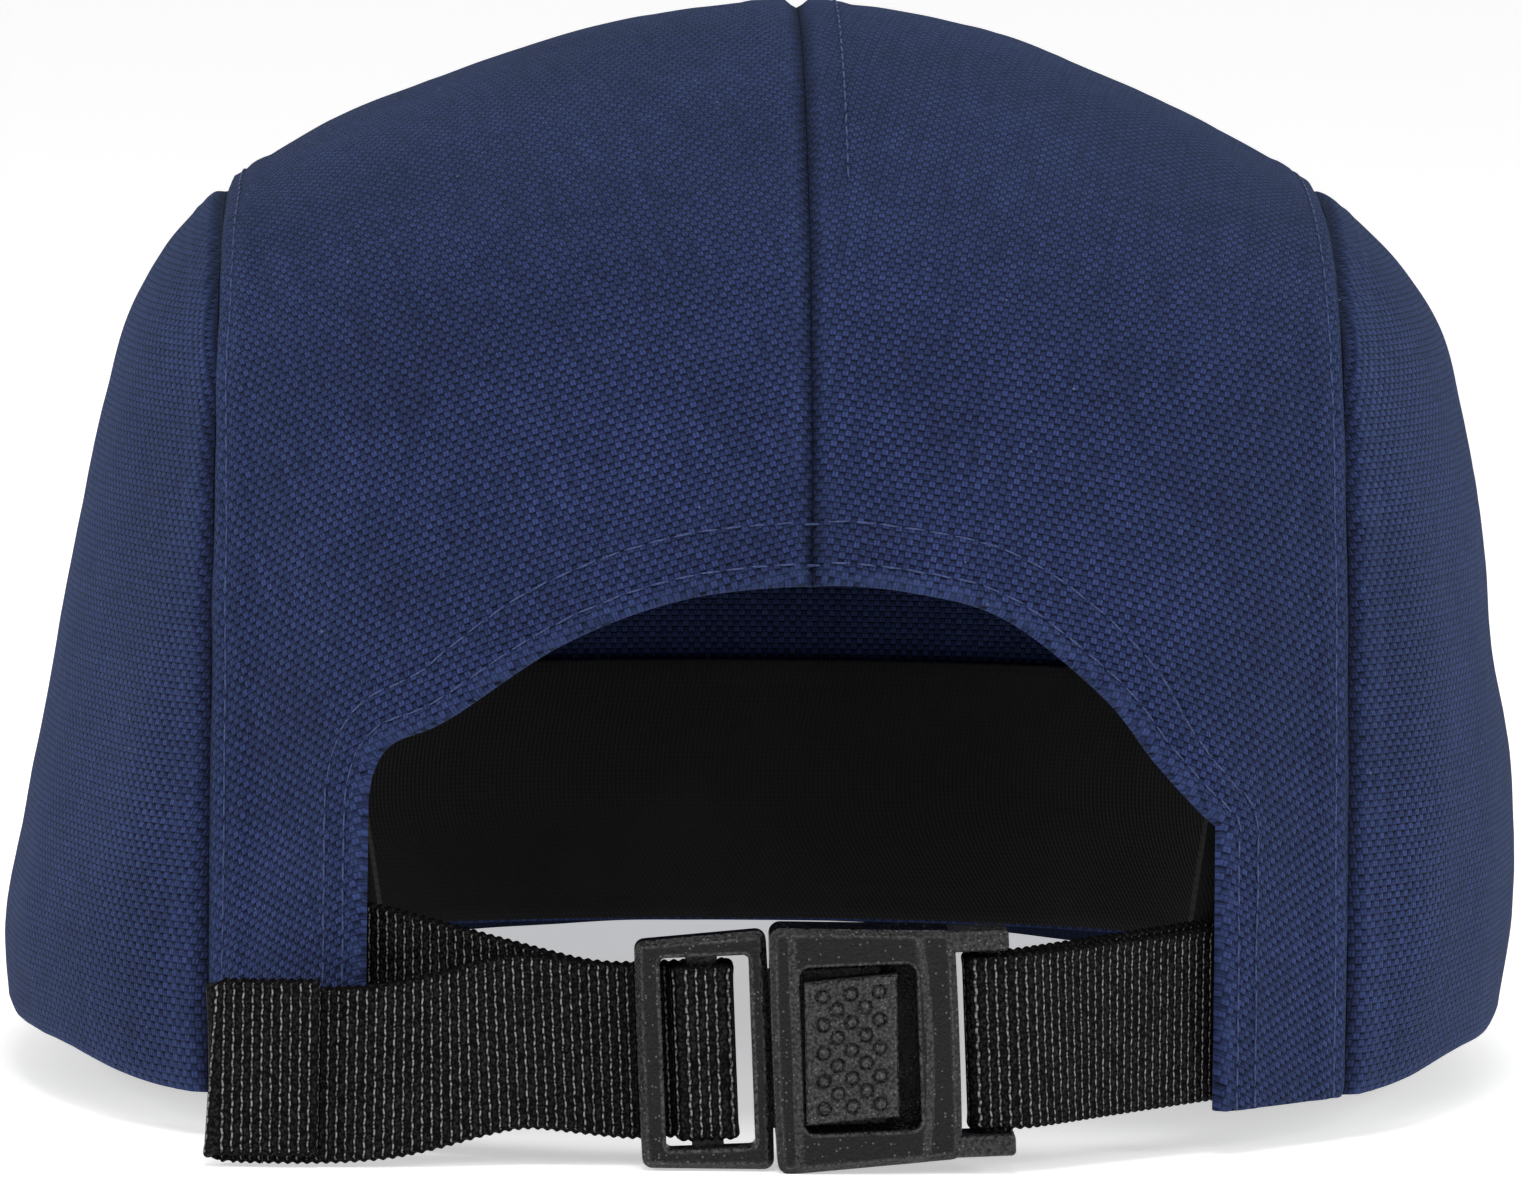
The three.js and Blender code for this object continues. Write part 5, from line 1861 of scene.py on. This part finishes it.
@dataclass
class BuckleTongue:
    """The adjuster frame with its bar, the tongue and the dotted push pad. Millimetres."""

    lie: BuckleLie
    datum: Datum
    thickness: float = 4.2
    window_height: float = 20.6
    strap_rail: float = 2.6
    join_rail: float = 1.9
    bar_x: float = 7.15
    bar_width: float = 3.4
    bar_thickness: float = 1.5
    bar_set_back: float = 0.4
    rail_set_back: float = 0.9
    recess_height: float = 20.2
    tongue_length: float = 12.2
    tongue_height: float = 17.0
    tongue_thickness: float = 1.8
    pad_length: float = 9.9
    pad_height: float = 15.2
    pad_front: float = 4.7
    pad_from_junction: float = 3.5
    pad_turn_degrees: float = 3.4
    pad_lean_degrees: float = -1.1
    pad_cell: float = 0.17
    dome_radius: float = 0.54
    dome_height: float = 0.5
    moat_radius: float = 0.64
    moat_depth: float = 0.24
    column_pitch: float = 1.5
    row_pitch: float = 3.0
    bevel: float = 0.7

    def frame_loops(self) -> list[LevelLoop]:
        """Loops of the adjuster frame, round its outer side and its window."""
        lie, half = self.lie, self.thickness / 2

        def outside(inset: float) -> Array:
            """Outline of the frame."""
            return rounded_loop(lie.half_gap, lie.adjuster_inner, lie.adjuster_length, lie.adjuster_outer,
                                1.1, inset, 0.12)

        def window(inset: float) -> Array:
            """Outline of the window."""
            return rounded_loop(lie.half_gap + self.join_rail, self.window_height,
                                lie.adjuster_length - self.strap_rail, self.window_height, 0.6, inset)

        bend = 0.35
        loops = chamfered_section(outside, self.bevel, half, -half)
        loops.append((window(-bend - 0.15), -half, 0.0))
        # The window's rounded edges are lightened, as wear and as painted highlight.
        loops += rounded_edge(window, -half, bend, -1, 0.7)
        loops += rounded_edge(window, half, bend, 1, 0.9)
        loops.append((window(-bend - 0.15), half, 0.0))
        shaped = []
        for loop, level, worn in loops:
            heights = np.full(len(loop), level)
            behind = (
                (loop[:, 0] > lie.adjuster_length - self.strap_rail - 1.0)
                & (np.abs(loop[:, 1]) < self.recess_height / 2)
            )
            set_back = np.where(behind, np.maximum(heights, -half + self.rail_set_back), heights)
            shaped.append((loop, set_back, worn))
        return shaped

    def dome_places(self) -> Array:
        """Middles of the domes on the pad, drawn round the junction."""
        places = []
        for column in range(-2, 3):
            rows = 5 if column % 2 == 0 else 4
            for row in range(rows):
                level = (row - (rows - 1) / 2) * self.row_pitch
                places.append((column * self.column_pitch, self.pad_front, level))
        return np.array(places)

    def pad(self) -> tuple[Array, Array, Array]:
        """Vertices, faces and wear of the pad, with a moat round the foot of each dome; the wear values
        lighten the pad as rubbing and painted highlight, and darken each moat as painted shade.
        """
        half_wide, half_tall, bend = self.pad_length / 2, self.pad_height / 2, 0.35
        xs = np.linspace(-half_wide, half_wide, int(self.pad_length / self.pad_cell))
        zs = np.linspace(-half_tall, half_tall, int(self.pad_height / self.pad_cell))
        x, z = np.meshgrid(xs, zs)
        near = np.minimum(half_wide - np.abs(x), half_tall - np.abs(z))
        drop = bend * (1 - np.sqrt(1 - (1 - np.minimum(near / bend, 1)) ** 2))
        moats = np.zeros(x.shape)
        for place in self.dome_places():
            away = np.hypot(x - place[0], z - place[2])
            moats = moats + bell(away - self.moat_radius, 0.16)
        drop = drop + self.moat_depth * moats
        front = np.stack([x, self.pad_front - drop, z], -1).reshape(-1, 3)
        index = np.arange(x.size).reshape(x.shape)
        vertices, faces = closed_shell(front, front * [1, 0, 1], grid_faces(index))
        # Painted highlight on the pad and more on its edges, painted shade in each moat.
        worn = np.clip(np.maximum(0.8, bell(near, 0.3)) - 0.55 * moats, 0, 1).reshape(-1)
        return self.turn_pad(vertices), faces, np.concatenate([worn, 0 * worn])

    def turn_pad(self, points: Array) -> Array:
        """Turns points round the pad's middle and moves them onto the tongue."""
        turn, lean = math.radians(self.pad_turn_degrees), math.radians(self.pad_lean_degrees)
        x, y, z = points[..., 0], points[..., 1], points[..., 2]
        middle = -self.pad_from_junction - self.pad_length / 2
        return np.stack([x + z * math.sin(lean) + middle, y, z - x * math.sin(turn)], -1)

    def make(self, domes: NodeTree, material: Material) -> None:
        """Builds the moulding and the domes of its pad."""
        moulding = Moulding()
        moulding.add(self.frame_loops(), False, False, ring=True)
        bar_height = (self.window_height + self.lie.adjuster_inner) / 2
        moulding.block((self.bar_x, -self.bar_set_back, 0),
                       (self.bar_width, self.bar_thickness, bar_height))
        length = self.tongue_length + self.join_rail
        moulding.block(((self.join_rail - self.tongue_length) / 2 + self.lie.half_gap, 0, 0),
                       (length, self.tongue_thickness, self.tongue_height))
        moulding.join(*self.pad())
        made = moulding.finish("adjuster_and_tongue", self.lie, self.datum, material)
        hand_over(made, "moulded_plastic", "buckle_tongue")
        points = self.datum.place(self.lie.place(self.turn_pad(self.dome_places())))
        mesh = bpy.data.meshes.new("pad_domes")
        mesh.from_pydata(points.tolist(), [], [])
        carrier = show("pad_domes", mesh)
        sizes = {"Dome Radius": self.dome_radius * MM, "Height": self.dome_height * MM}
        hand_over(grown(carrier, domes, {**sizes, "Moulding": material}), "moulded_plastic")


@dataclass
class BuckleSocket:
    """The socket with its window, arms and end bar. Millimetres."""

    lie: BuckleLie
    datum: Datum
    length: float = 19.8
    thickness: float = 8.4
    outer_height: float = 24.6
    corner: float = 1.2
    bevel: float = 0.7
    front_wall: float = 1.6
    back_wall: float = 1.5
    cavity_length: float = 16.4
    cavity_height: float = 20.4
    mouth_wall: float = 1.6
    window_from: float = 3.2
    window_length: float = 12.4
    window_height: float = 17.8
    ridge_from: float = 2.05
    ridge_to: float = 15.5
    ridge_slope: float = 0.9
    ridge_bow: float = 0.85
    ridge_rise: float = 0.55
    arm_end: float = -25.6
    arm_thickness: float = 7.2
    arm_height: float = 2.3
    arm_z: float = 11.0
    bar_x: float = -23.5
    bar_width: float = 2.4
    bar_thickness: float = 1.8
    mouth_height: float = 18.6
    mouth_depth: float = 3.4

    def make(self, material: Material) -> None:
        """Builds the moulding."""
        lie, half = self.lie, self.thickness / 2

        def outside(inset: float) -> Array:
            """Outline of the body."""
            return rounded_loop(-self.length, self.outer_height, -lie.half_gap, lie.socket_inner,
                                self.corner, inset, 0.18)

        def window(inset: float) -> Array:
            """Outline of the window."""
            return rounded_loop(-self.window_from - self.window_length, self.window_height,
                                -self.window_from, self.window_height, 1.1, inset)

        def cavity(inset: float) -> Array:
            """Outline of the hollow."""
            return rounded_loop(-self.cavity_length, self.cavity_height,
                                -self.mouth_wall, self.cavity_height, 0.8, inset)

        bend, inner_front = 0.3, half - self.front_wall
        loops: list[LevelLoop] = [
            (cavity(4.0), -half + self.back_wall, 0.0),
            (cavity(0.3), -half + self.back_wall, 0.0),
            (cavity(0.0), -half + self.back_wall + 0.3, 0.0),
            (cavity(0.0), inner_front - 0.3, 0.0),
            (cavity(0.3), inner_front, 0.0),
            (window(-0.2), inner_front, 0.0),
            (window(0.0), inner_front + 0.2, 0.2),
        ]
        # The window's rounded edge is lightened, as wear and as painted highlight.
        loops += rounded_edge(window, half, bend, 1, 0.8)
        face = [(window(-bend - 0.12), half, 0.0)]
        outer_loop, inner_loop = outside(self.bevel + 0.3), window(-bend - 0.12)
        for share in np.linspace(0, 1, 20)[1:-1]:
            face.append((inner_loop + (outer_loop - inner_loop) * share, half, 0.0))
        loops += face
        loops += chamfered_section(outside, self.bevel, half, -half)
        shaped = []
        for loop, level, worn in loops:
            x = loop[:, 0]
            bulge = self.ridge_bow * (1 - (loop[:, 1] / (0.5 * self.outer_height)) ** 2)
            rise = np.clip((x + self.ridge_to + self.ridge_slope + bulge) / self.ridge_slope, 0, 1)
            fall = np.clip((x + self.ridge_from) / self.ridge_slope + 1, 0, 1)
            raised = rise * (1 - fall)
            slope = (rise > 0) & (rise < 1) | (fall > 0) & (fall < 1)
            front = smooth(half - self.bevel - 0.6, half, np.full(len(x), float(level)))
            # The ridge's sloping sides on the face are lightened as painted highlight.
            rubbed_and_highlit = np.maximum(worn, np.where(slope & (level > half - 0.01), 0.7, 0.0))
            shaped.append((loop, level - self.ridge_rise * (1 - raised) * front, rubbed_and_highlit))
        moulding = Moulding()
        moulding.add(shaped, True, True)
        made = moulding.finish("buckle_socket_body", lie, self.datum, material)
        self.cut_mouth(made)
        hand_over(made, "moulded_plastic", "buckle_socket")
        holder = Moulding()
        arm_start = -self.length + 2 * self.corner
        for side in (-1, 1):
            holder.block(((self.arm_end + arm_start) / 2, 0, side * self.arm_z),
                         (arm_start - self.arm_end, self.arm_thickness, self.arm_height), 0.5)
        holder.block((self.bar_x, 0, 0), (self.bar_width, self.bar_thickness, 2 * self.arm_z))
        hand_over(holder.finish("buckle_socket_arms", lie, self.datum, material), "moulded_plastic")

    def cut_mouth(self, made: Piece) -> None:
        """Opens the side that the tongue enters."""
        cutter = Moulding()
        cutter.block((-1.0, 0, 0), (2.6, self.mouth_depth, self.mouth_height))
        tool = cutter.finish("mouth", self.lie, self.datum, made.data.materials[0])
        cut = made.modifiers.new("mouth", "BOOLEAN")
        cut.operation, cut.solver, cut.object = "DIFFERENCE", "EXACT", tool
        depsgraph = bpy.context.evaluated_depsgraph_get()
        mesh = bpy.data.meshes.new_from_object(made.evaluated_get(depsgraph))
        made.modifiers.remove(cut)
        made.data = mesh
        bpy.data.objects.remove(tool)


# Webbing


@dataclass(frozen=True)
class Stop:
    """A point that a strap's middle passes, a corner's fillet, and how far the lower edge swings out."""

    at: tuple[float, float, float]
    fillet: float = 0.0
    lean: float = 0.0


@dataclass(frozen=True)
class Bind:
    """A bar that a strap turns round closely. Buckle drawing, millimetres."""

    x: float
    reach: float


@dataclass
class Webbing:
    """A strap of woven webbing swept along a route. Millimetres."""

    lie: BuckleLie
    datum: Datum
    name: str
    node: str
    stops: list[Stop]
    bind: Bind
    hem: float = 0.0
    hem_lift: float = 1.1
    width: float = 19.0
    thickness: float = 1.4
    edge_round: float = 0.62
    step: float = 0.19
    rib_pitch: float = 1.02
    rib_depth: float = 0.13
    seat_gap: float = 0.3
    buckle_reach: float = 26.9
    nick_from: float = 8.6
    nick_depth: float = 0.08
    scallop_depth: float = 0.1

    def route(self) -> tuple[Array, Array]:
        """Points of the middle line and the lean at each."""
        points, leans = [np.array(self.stops[0].at)], [self.stops[0].lean]
        for i, stop in enumerate(self.stops[1:], 1):
            corner = np.array(stop.at)
            if stop.fillet == 0 or i == len(self.stops) - 1:
                points.append(corner)
                leans.append(stop.lean)
                continue
            nxt = np.array(self.stops[i + 1].at)
            start = corner + unit(points[-1] - corner) * stop.fillet
            end = corner + unit(nxt - corner) * stop.fillet
            for t in np.linspace(0, 1, 13):
                points.append((1 - t) ** 2 * start + 2 * t * (1 - t) * corner + t * t * end)
                leans.append(stop.lean)
        line, lean = np.array(points), np.array(leans)
        if self.hem:
            line, lean = self.fold(line, lean)
        both = np.concatenate([line, lean[:, None]], 1)
        run = run_length(line)
        places = np.arange(0, run[-1], self.step)
        laid = np.stack([np.interp(places, run, both[:, k]) for k in range(4)], -1)
        wide = self.blur(laid, 1.5)
        close = self.blur(laid, 0.22)
        along = np.abs((laid[:, 0] - self.lie.junction_x) - self.bind.x)
        tight = 1 - smooth(self.bind.reach, self.bind.reach + 4, along)
        if self.hem:
            hem_from = places[-1] - self.hem
            tight = np.maximum(tight, smooth(hem_from - 3.5, hem_from - 1.5, places))
        mixed = wide + (close - wide) * tight[:, None]
        return mixed[:, :3], mixed[:, 3]

    def blur(self, values: Array, spread: float) -> Array:
        """Evens out values along the strap, keeping its ends."""
        reach = int(4 * spread / self.step) + 1
        kernel = np.exp(-0.5 * (np.arange(-reach, reach + 1) * self.step / spread) ** 2)
        kernel /= kernel.sum()
        before = 2 * values[0] - values[1:reach + 1][::-1]
        after = 2 * values[-1] - values[-reach - 1:-1][::-1]
        padded = np.concatenate([before, values, after])
        return np.stack([np.convolve(padded[:, k], kernel, "valid") for k in range(values.shape[1])], -1)

    def fold(self, line: Array, lean: Array) -> tuple[Array, Array]:
        """Folds the free end back behind itself."""
        end = line[-1]
        along = unit((end - line[-2]) * [1, 1, 0])
        inward = np.array([-along[1], along[0], 0.0])
        radius = (self.thickness + self.seat_gap) / 2
        turns = np.radians(np.linspace(15, 180, 12))
        folded = [end + along * radius * math.sin(t) + inward * radius * (1 - math.cos(t)) for t in turns]
        folded = [point + [0, 0, self.hem_lift * k / len(folded)] for k, point in enumerate(folded)]
        tail = folded[-1] - along * self.hem
        more = np.concatenate([lean[-1] * np.cos(turns), [-lean[-1]]])
        return np.concatenate([line, folded, [tail]]), np.concatenate([lean, more])

    def section(self) -> tuple[Array, Array, Array]:
        """Thickness and width of each point of the section, and how far it is on the edge."""
        half_wide, half_thick, bend = self.width / 2, self.thickness / 2, self.edge_round
        flat = np.linspace(half_wide - bend, bend - half_wide, 19)
        bead = half_thick - 0.1 * smooth(0.5, 1.8, half_wide - np.abs(flat))
        front = np.stack([bead, flat], -1)
        turn = np.radians(np.linspace(0, 180, 9))[1:-1]
        tip = np.stack([half_thick * np.cos(turn), -(half_wide - bend) - bend * np.sin(turn)], -1)
        loop = np.concatenate([front, tip, front[::-1] * [-1, 1], tip[::-1] * [1, -1]])
        edge = np.concatenate([np.zeros(19), np.ones(7), np.zeros(19), np.ones(7)])
        past = half_wide + np.linspace(0.1, 1, 7)
        around = np.concatenate([flat, -past, flat[::-1], past])
        return loop, edge, around

    def make(self, ribs: NodeTree, material: Material) -> tuple[Array, Array, Array]:
        """Sweeps the strap, raises its ribs, and returns its middle line, outward and upward directions."""
        line, lean = self.route()
        ahead = np.gradient(line, axis=0) * [1, 1, 0]
        along = unit(ahead)
        side = np.stack([along[:, 1], -along[:, 0], 0 * along[:, 0]], -1)
        away = np.abs(line[:, 0] - self.lie.junction_x)
        share = 1 - smooth(self.buckle_reach, 1.5 * self.buckle_reach, away)
        turn = math.radians(self.lie.turn_degrees) * share
        up = np.stack([np.sin(turn), 0 * turn, np.cos(turn)], -1)
        swing = np.radians(lean)[:, None]
        up = up * np.cos(swing) + np.cross(along, up) * np.sin(swing)
        up = unit(up + along * (along * up).sum(-1, keepdims=True) * (1 - np.cos(swing)))
        section, edge, around = self.section()
        run = run_length(line)
        scallop = self.scallop_depth * np.cos(2 * math.pi * run / self.rib_pitch)
        rings = []
        for i, point in enumerate(line):
            level = section[:, 1]
            nick = np.where(np.abs(level) > self.nick_from, self.nick_depth + 0.5 * scallop[i], 0)
            wide = level - np.sign(level) * nick
            rings.append(point + side[i] * section[:, [0]] + up[i] * wide[:, None])
        vertices, faces = stacked_loops(rings, True, True)
        uv = np.stack([np.repeat(run, len(section)), np.tile(around, len(line))], -1) * UV_UNIT
        made = make_object(
            self.name, self.datum.place(vertices), faces, uv,
            {"run": np.repeat(run, len(section)) * MM, "edge": np.tile(edge, len(line))},
        )
        sizes = {"Pitch": self.rib_pitch * MM, "Depth": self.rib_depth * MM}
        hand_over(grown(made, ribs, {**sizes, "Weave": material}), "webbing", self.node)
        return line, side, up


@dataclass
class Straps:
    """The two straps of the closure. Millimetres."""

    crown: CrownForm
    arch: ArchEdge
    lie: BuckleLie
    datum: Datum
    tongue: BuckleTongue
    socket: BuckleSocket
    width: float = 19.0
    thickness: float = 1.4
    layer_gap: float = 0.5
    seat_gap: float = 0.3
    turn_fillet: float = 1.1
    anchor_left: float = 58.0
    anchor_right: float = -54.0
    height_left: float = 12.8
    front_right: float = 10.4
    back_right: float = 11.0
    hem: float = 10.5
    # across as a share of the arch, height as a share of the rim's, stand-off, lean
    over: tuple[tuple[float, ...], ...] = (
        (0.64, 1.75, -0.4, 0), (0.74, 1.55, 1.1, 2), (0.83, 1.28, 2.8, 5), (0.92, 1.08, 4.3, 8),
        (1.02, 0.98, 6.1, 10), (1.13, 0.95, 8.6, 10), (1.22, 0.95, 10.8, 9), (1.3, 0.95, 13.0, 8),
    )

    def clear_of(self, x: float, height: float, depth: float) -> tuple[float, float, float]:
        """A point over an X that clears the crown by a depth over the strap's whole width."""
        heights = np.maximum(0, height + np.array([-1, 0, 1]) * self.width / 2)
        ys = self.crown.back(np.full(3, x), heights, depth)[:, 1]
        y = ys.min() if depth > 0 else ys.max()
        return (x, float(y), self.crown.rim_height + height)

    def inside(self, start: float, end: float, height: float, layer: int) -> list[Stop]:
        """Stops between shell and band."""
        first = self.crown.wall + self.layer_gap + self.thickness / 2
        depth = first + layer * (self.thickness + self.layer_gap)
        return [Stop(self.clear_of(x, height, depth)) for x in np.linspace(start, end, 5)]

    def on_buckle(self, along: float, depth: float, fillet: float) -> Stop:
        """A stop in the buckle's own drawing."""
        return Stop(tuple(self.lie.place([along, depth, 0.0])), fillet)

    def long_stops(self) -> list[Stop]:
        """Route of the long strap, round the adjuster's bar and over the shell."""
        clear = self.seat_gap + self.thickness / 2
        bar, tongue = self.tongue.bar_x, self.tongue
        loop_x = tongue.bar_width / 2 + clear
        loop_front = tongue.bar_thickness / 2 + clear - tongue.bar_set_back
        front = -tongue.thickness / 2 + tongue.rail_set_back - clear
        behind = front - self.thickness - self.seat_gap
        rail = self.lie.adjuster_length
        stops = self.inside(self.anchor_left, self.arch.left_reach - 1, self.height_left, 0)
        stops += [
            self.on_buckle(rail + 4, behind, 3),
            self.on_buckle(bar - loop_x, behind, self.turn_fillet),
            self.on_buckle(bar - loop_x, loop_front, self.turn_fillet),
            self.on_buckle(bar + loop_x, loop_front, self.turn_fillet),
            self.on_buckle(bar + loop_x, front, self.turn_fillet / 2),
            self.on_buckle(rail + 1.5, front, 1.2),
        ]
        for across, height, stand_off, lean in self.over:
            at = self.clear_of(across * self.arch.left_reach, height * self.crown.rim_height, -stand_off)
            stops.append(Stop(at, 0.0, lean))
        return stops

    def short_stops(self) -> list[Stop]:
        """Route of the short strap, doubled round the socket's end bar."""
        clear = self.seat_gap + self.thickness / 2
        loop_y = self.socket.bar_thickness / 2 + clear
        loop_x = self.socket.bar_width / 2 + clear
        bar = self.socket.bar_x
        edge = -self.arch.right_reach + 1
        return [
            *self.inside(self.anchor_right, edge, self.front_right, 0),
            self.on_buckle(bar - loop_x - 1, loop_y, 2),
            self.on_buckle(bar + loop_x, loop_y, self.turn_fillet),
            self.on_buckle(bar + loop_x, -loop_y, self.turn_fillet),
            self.on_buckle(bar - loop_x - 1, -loop_y, 2),
            *self.inside(edge, self.anchor_right, self.back_right, 1),
        ]

    def make(self, ribs: NodeTree, material: Material) -> list[SeamLine]:
        """Makes both straps and finds the line of stitches across the hem."""
        long = Webbing(self.lie, self.datum, "long_strap_webbing", "long_strap",
                       self.long_stops(), Bind(self.tongue.bar_x, 6.5), hem=self.hem)
        line, side, up = long.make(ribs, material)
        Webbing(self.lie, self.datum, "short_strap_webbing", "short_strap",
                self.short_stops(), Bind(self.socket.bar_x, 3.5)).make(ribs, material)
        run = run_length(line)
        at = int(np.searchsorted(run, run[-1] - 2 * self.hem + 3.2))
        out = -side[at]
        heights = np.linspace(-self.width / 2 + 0.7, self.width / 2 - 0.7, 40)[:, None]
        points = line[at] + up[at] * heights + out * (self.thickness / 2 + 0.02)
        return [SeamLine(points, np.tile(out, (len(points), 1)))]


# Studio


@dataclass(frozen=True)
class SoftLight:
    """A large soft lamp, aimed at the cap. Metres, degrees, watts."""

    name: str
    azimuth: float
    elevation: float
    distance: float
    size: float
    power: float
    colour: tuple[float, float, float] = (1.0, 1.0, 1.0)

    def make(self, target: Vector) -> None:
        """Hangs the lamp."""
        lamp = bpy.data.lights.new(self.name, "AREA")
        lamp.shape, lamp.size, lamp.energy, lamp.color = "SQUARE", self.size, self.power, self.colour
        made = show(self.name, lamp)
        back = direction(self.azimuth, self.elevation)
        made.location = target + back * self.distance
        made.rotation_euler = back.to_track_quat("Z", "Y").to_euler()


def direction(azimuth: float, elevation: float) -> Vector:
    """Direction from the cap towards a viewer at an azimuth and an elevation, in degrees."""
    a, e = math.radians(azimuth), math.radians(elevation)
    return Vector((math.sin(a) * math.cos(e), -math.cos(a) * math.cos(e), math.sin(e)))


@dataclass(frozen=True)
class Studio:
    """Pale floor, soft lamps, and the camera at the photograph's angle."""

    azimuth: float = 178.66
    elevation: float = 4.9
    roll: float = 0.5
    distance: float = 1.2
    lens: float = 266.5
    target: tuple[float, float, float] = (0.00302, 0.125, 0.0617)
    floor_size: float = 20.0
    lamps: tuple[SoftLight, ...] = (
        SoftLight("left_lamp", 118.0, 24.0, 1.5, 0.45, 6.0),
        SoftLight("right_lamp", 244.0, 24.0, 1.5, 0.45, 6.5),
        SoftLight("top_lamp", 176.0, 62.0, 1.5, 0.45, 5.5),
        SoftLight("front_lamp", 184.0, 32.0, 1.8, 0.5, 3.0),
    )

    def make(self) -> None:
        """Sets up the stage."""
        self.lay_floor()
        target = Vector((0.0, 0.03, 0.05))
        for lamp in self.lamps:
            lamp.make(target)
        world = bpy.data.worlds.new("studio")
        world.use_nodes = True
        background = world.node_tree.nodes["Background"]
        background.inputs["Color"].default_value = (1, 1, 1, 1)
        background.inputs["Strength"].default_value = 0.5
        bpy.context.scene.world = world
        bpy.context.scene.view_settings.view_transform = "Standard"
        self.aim()

    def lay_floor(self) -> None:
        """Lays the plain pale floor."""
        half = self.floor_size / 2
        corners = [(-half, -half, 0), (half, -half, 0), (half, half, 0), (-half, half, 0)]
        mesh = bpy.data.meshes.new("floor")
        mesh.from_pydata(corners, [], [(0, 1, 2, 3)])
        floor = show("floor", mesh)
        material, _, surface = new_material("pale_floor")
        surface.inputs["Base Color"].default_value = (0.9, 0.9, 0.9, 1)
        surface.inputs["Roughness"].default_value = 0.9
        surface.inputs["Emission Color"].default_value = (1, 1, 1, 1)
        surface.inputs["Emission Strength"].default_value = 0.5
        mesh.materials.append(material)

    def aim(self) -> None:
        """Places the camera."""
        data = bpy.data.cameras.new("camera")
        data.lens, data.clip_end = self.lens, 100.0
        camera = show("camera", data)
        back = direction(self.azimuth, self.elevation)
        right = Vector((0, 0, 1)).cross(back).normalized()
        up = back.cross(right)
        look = Matrix((right, up, back)).transposed().to_4x4()
        place = Matrix.Translation(Vector(self.target) + back * self.distance)
        camera.matrix_world = place @ look @ Matrix.Rotation(math.radians(self.roll), 4, "Z")
        bpy.context.scene.camera = camera


class JockeyCap:
    """Builds every piece of the cap in order."""

    def __init__(self) -> None:
        """Reads the place of the crown and prepares finishes and node trees."""
        self.crown, self.arch = CrownForm(), ArchEdge()
        self.datum = Datum.from_frame(self.crown)
        patterns = Patterns()
        self.canvas = CanvasFinish().make(patterns)
        self.webbing = WebbingFinish().make(patterns)
        self.twill = TwillFinish().make(patterns)
        self.plastic = PlasticFinish().make(patterns)
        self.blue_thread = ThreadFinish(
            "blue_thread", (0.052, 0.077, 0.185, 1), (0.022, 0.034, 0.1, 1)
        ).make(patterns)
        self.black_thread = ThreadFinish(
            "black_thread", (0.009, 0.009, 0.01, 1), (0.003, 0.003, 0.0035, 1)
        ).make(patterns)
        self.stitches, self.domes, self.ribs = stitch_tree(), dome_tree(), rib_tree()

    def make(self) -> None:
        """Builds the pieces."""
        wall = self.crown.wall
        for side in Side:
            panel = BackPanel(
                self.crown, self.arch, side,
                grain_degrees=16.0 if side is Side.LEFT else 9.0,
                grain_bend=0.0046 if side is Side.LEFT else 0.0062,
            )
            skin, lines = panel.build()
            word = side.name.lower()
            skin.finish(f"canvas_back_{word}", f"back_panel_{word}", wall, self.datum, self.canvas)
            row = StitchRow(f"back_stitches_{word}", lines, self.datum, seed=3)
            row.make(self.stitches, self.blue_thread, "canvas")
            skin = SidePanel(self.crown, side).build()
            skin.finish(f"canvas_side_{word}", f"side_panel_{word}", wall, self.datum, self.canvas)
        skin, lines = FrontPanel(self.crown).build()
        skin.finish("canvas_front", "front_panel", wall, self.datum, self.canvas)
        _, edge = Peak(self.crown, self.datum).make(self.canvas)
        row = StitchRow("front_stitches", [*lines, edge], self.datum, seed=5)
        row.make(self.stitches, self.blue_thread, "canvas")
        Sweatband(self.crown, self.arch, self.datum).make(self.twill)
        lie = BuckleLie()
        tongue, socket = BuckleTongue(lie, self.datum), BuckleSocket(lie, self.datum)
        tongue.make(self.domes, self.plastic)
        socket.make(self.plastic)
        hem = Straps(self.crown, self.arch, lie, self.datum, tongue, socket).make(self.ribs, self.webbing)
        row = StitchRow("hem_stitches", hem, self.datum, pitch=2.1, length=1.4, width=0.2, height=0.12,
                        seed=7)
        row.make(self.stitches, self.black_thread, "webbing")


def main() -> None:
    """Builds the cap and its studio."""
    logging.basicConfig(level=logging.INFO, format="%(message)s")
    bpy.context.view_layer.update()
    JockeyCap().make()
    Studio().make()


if __name__ == "__main__":
    main()
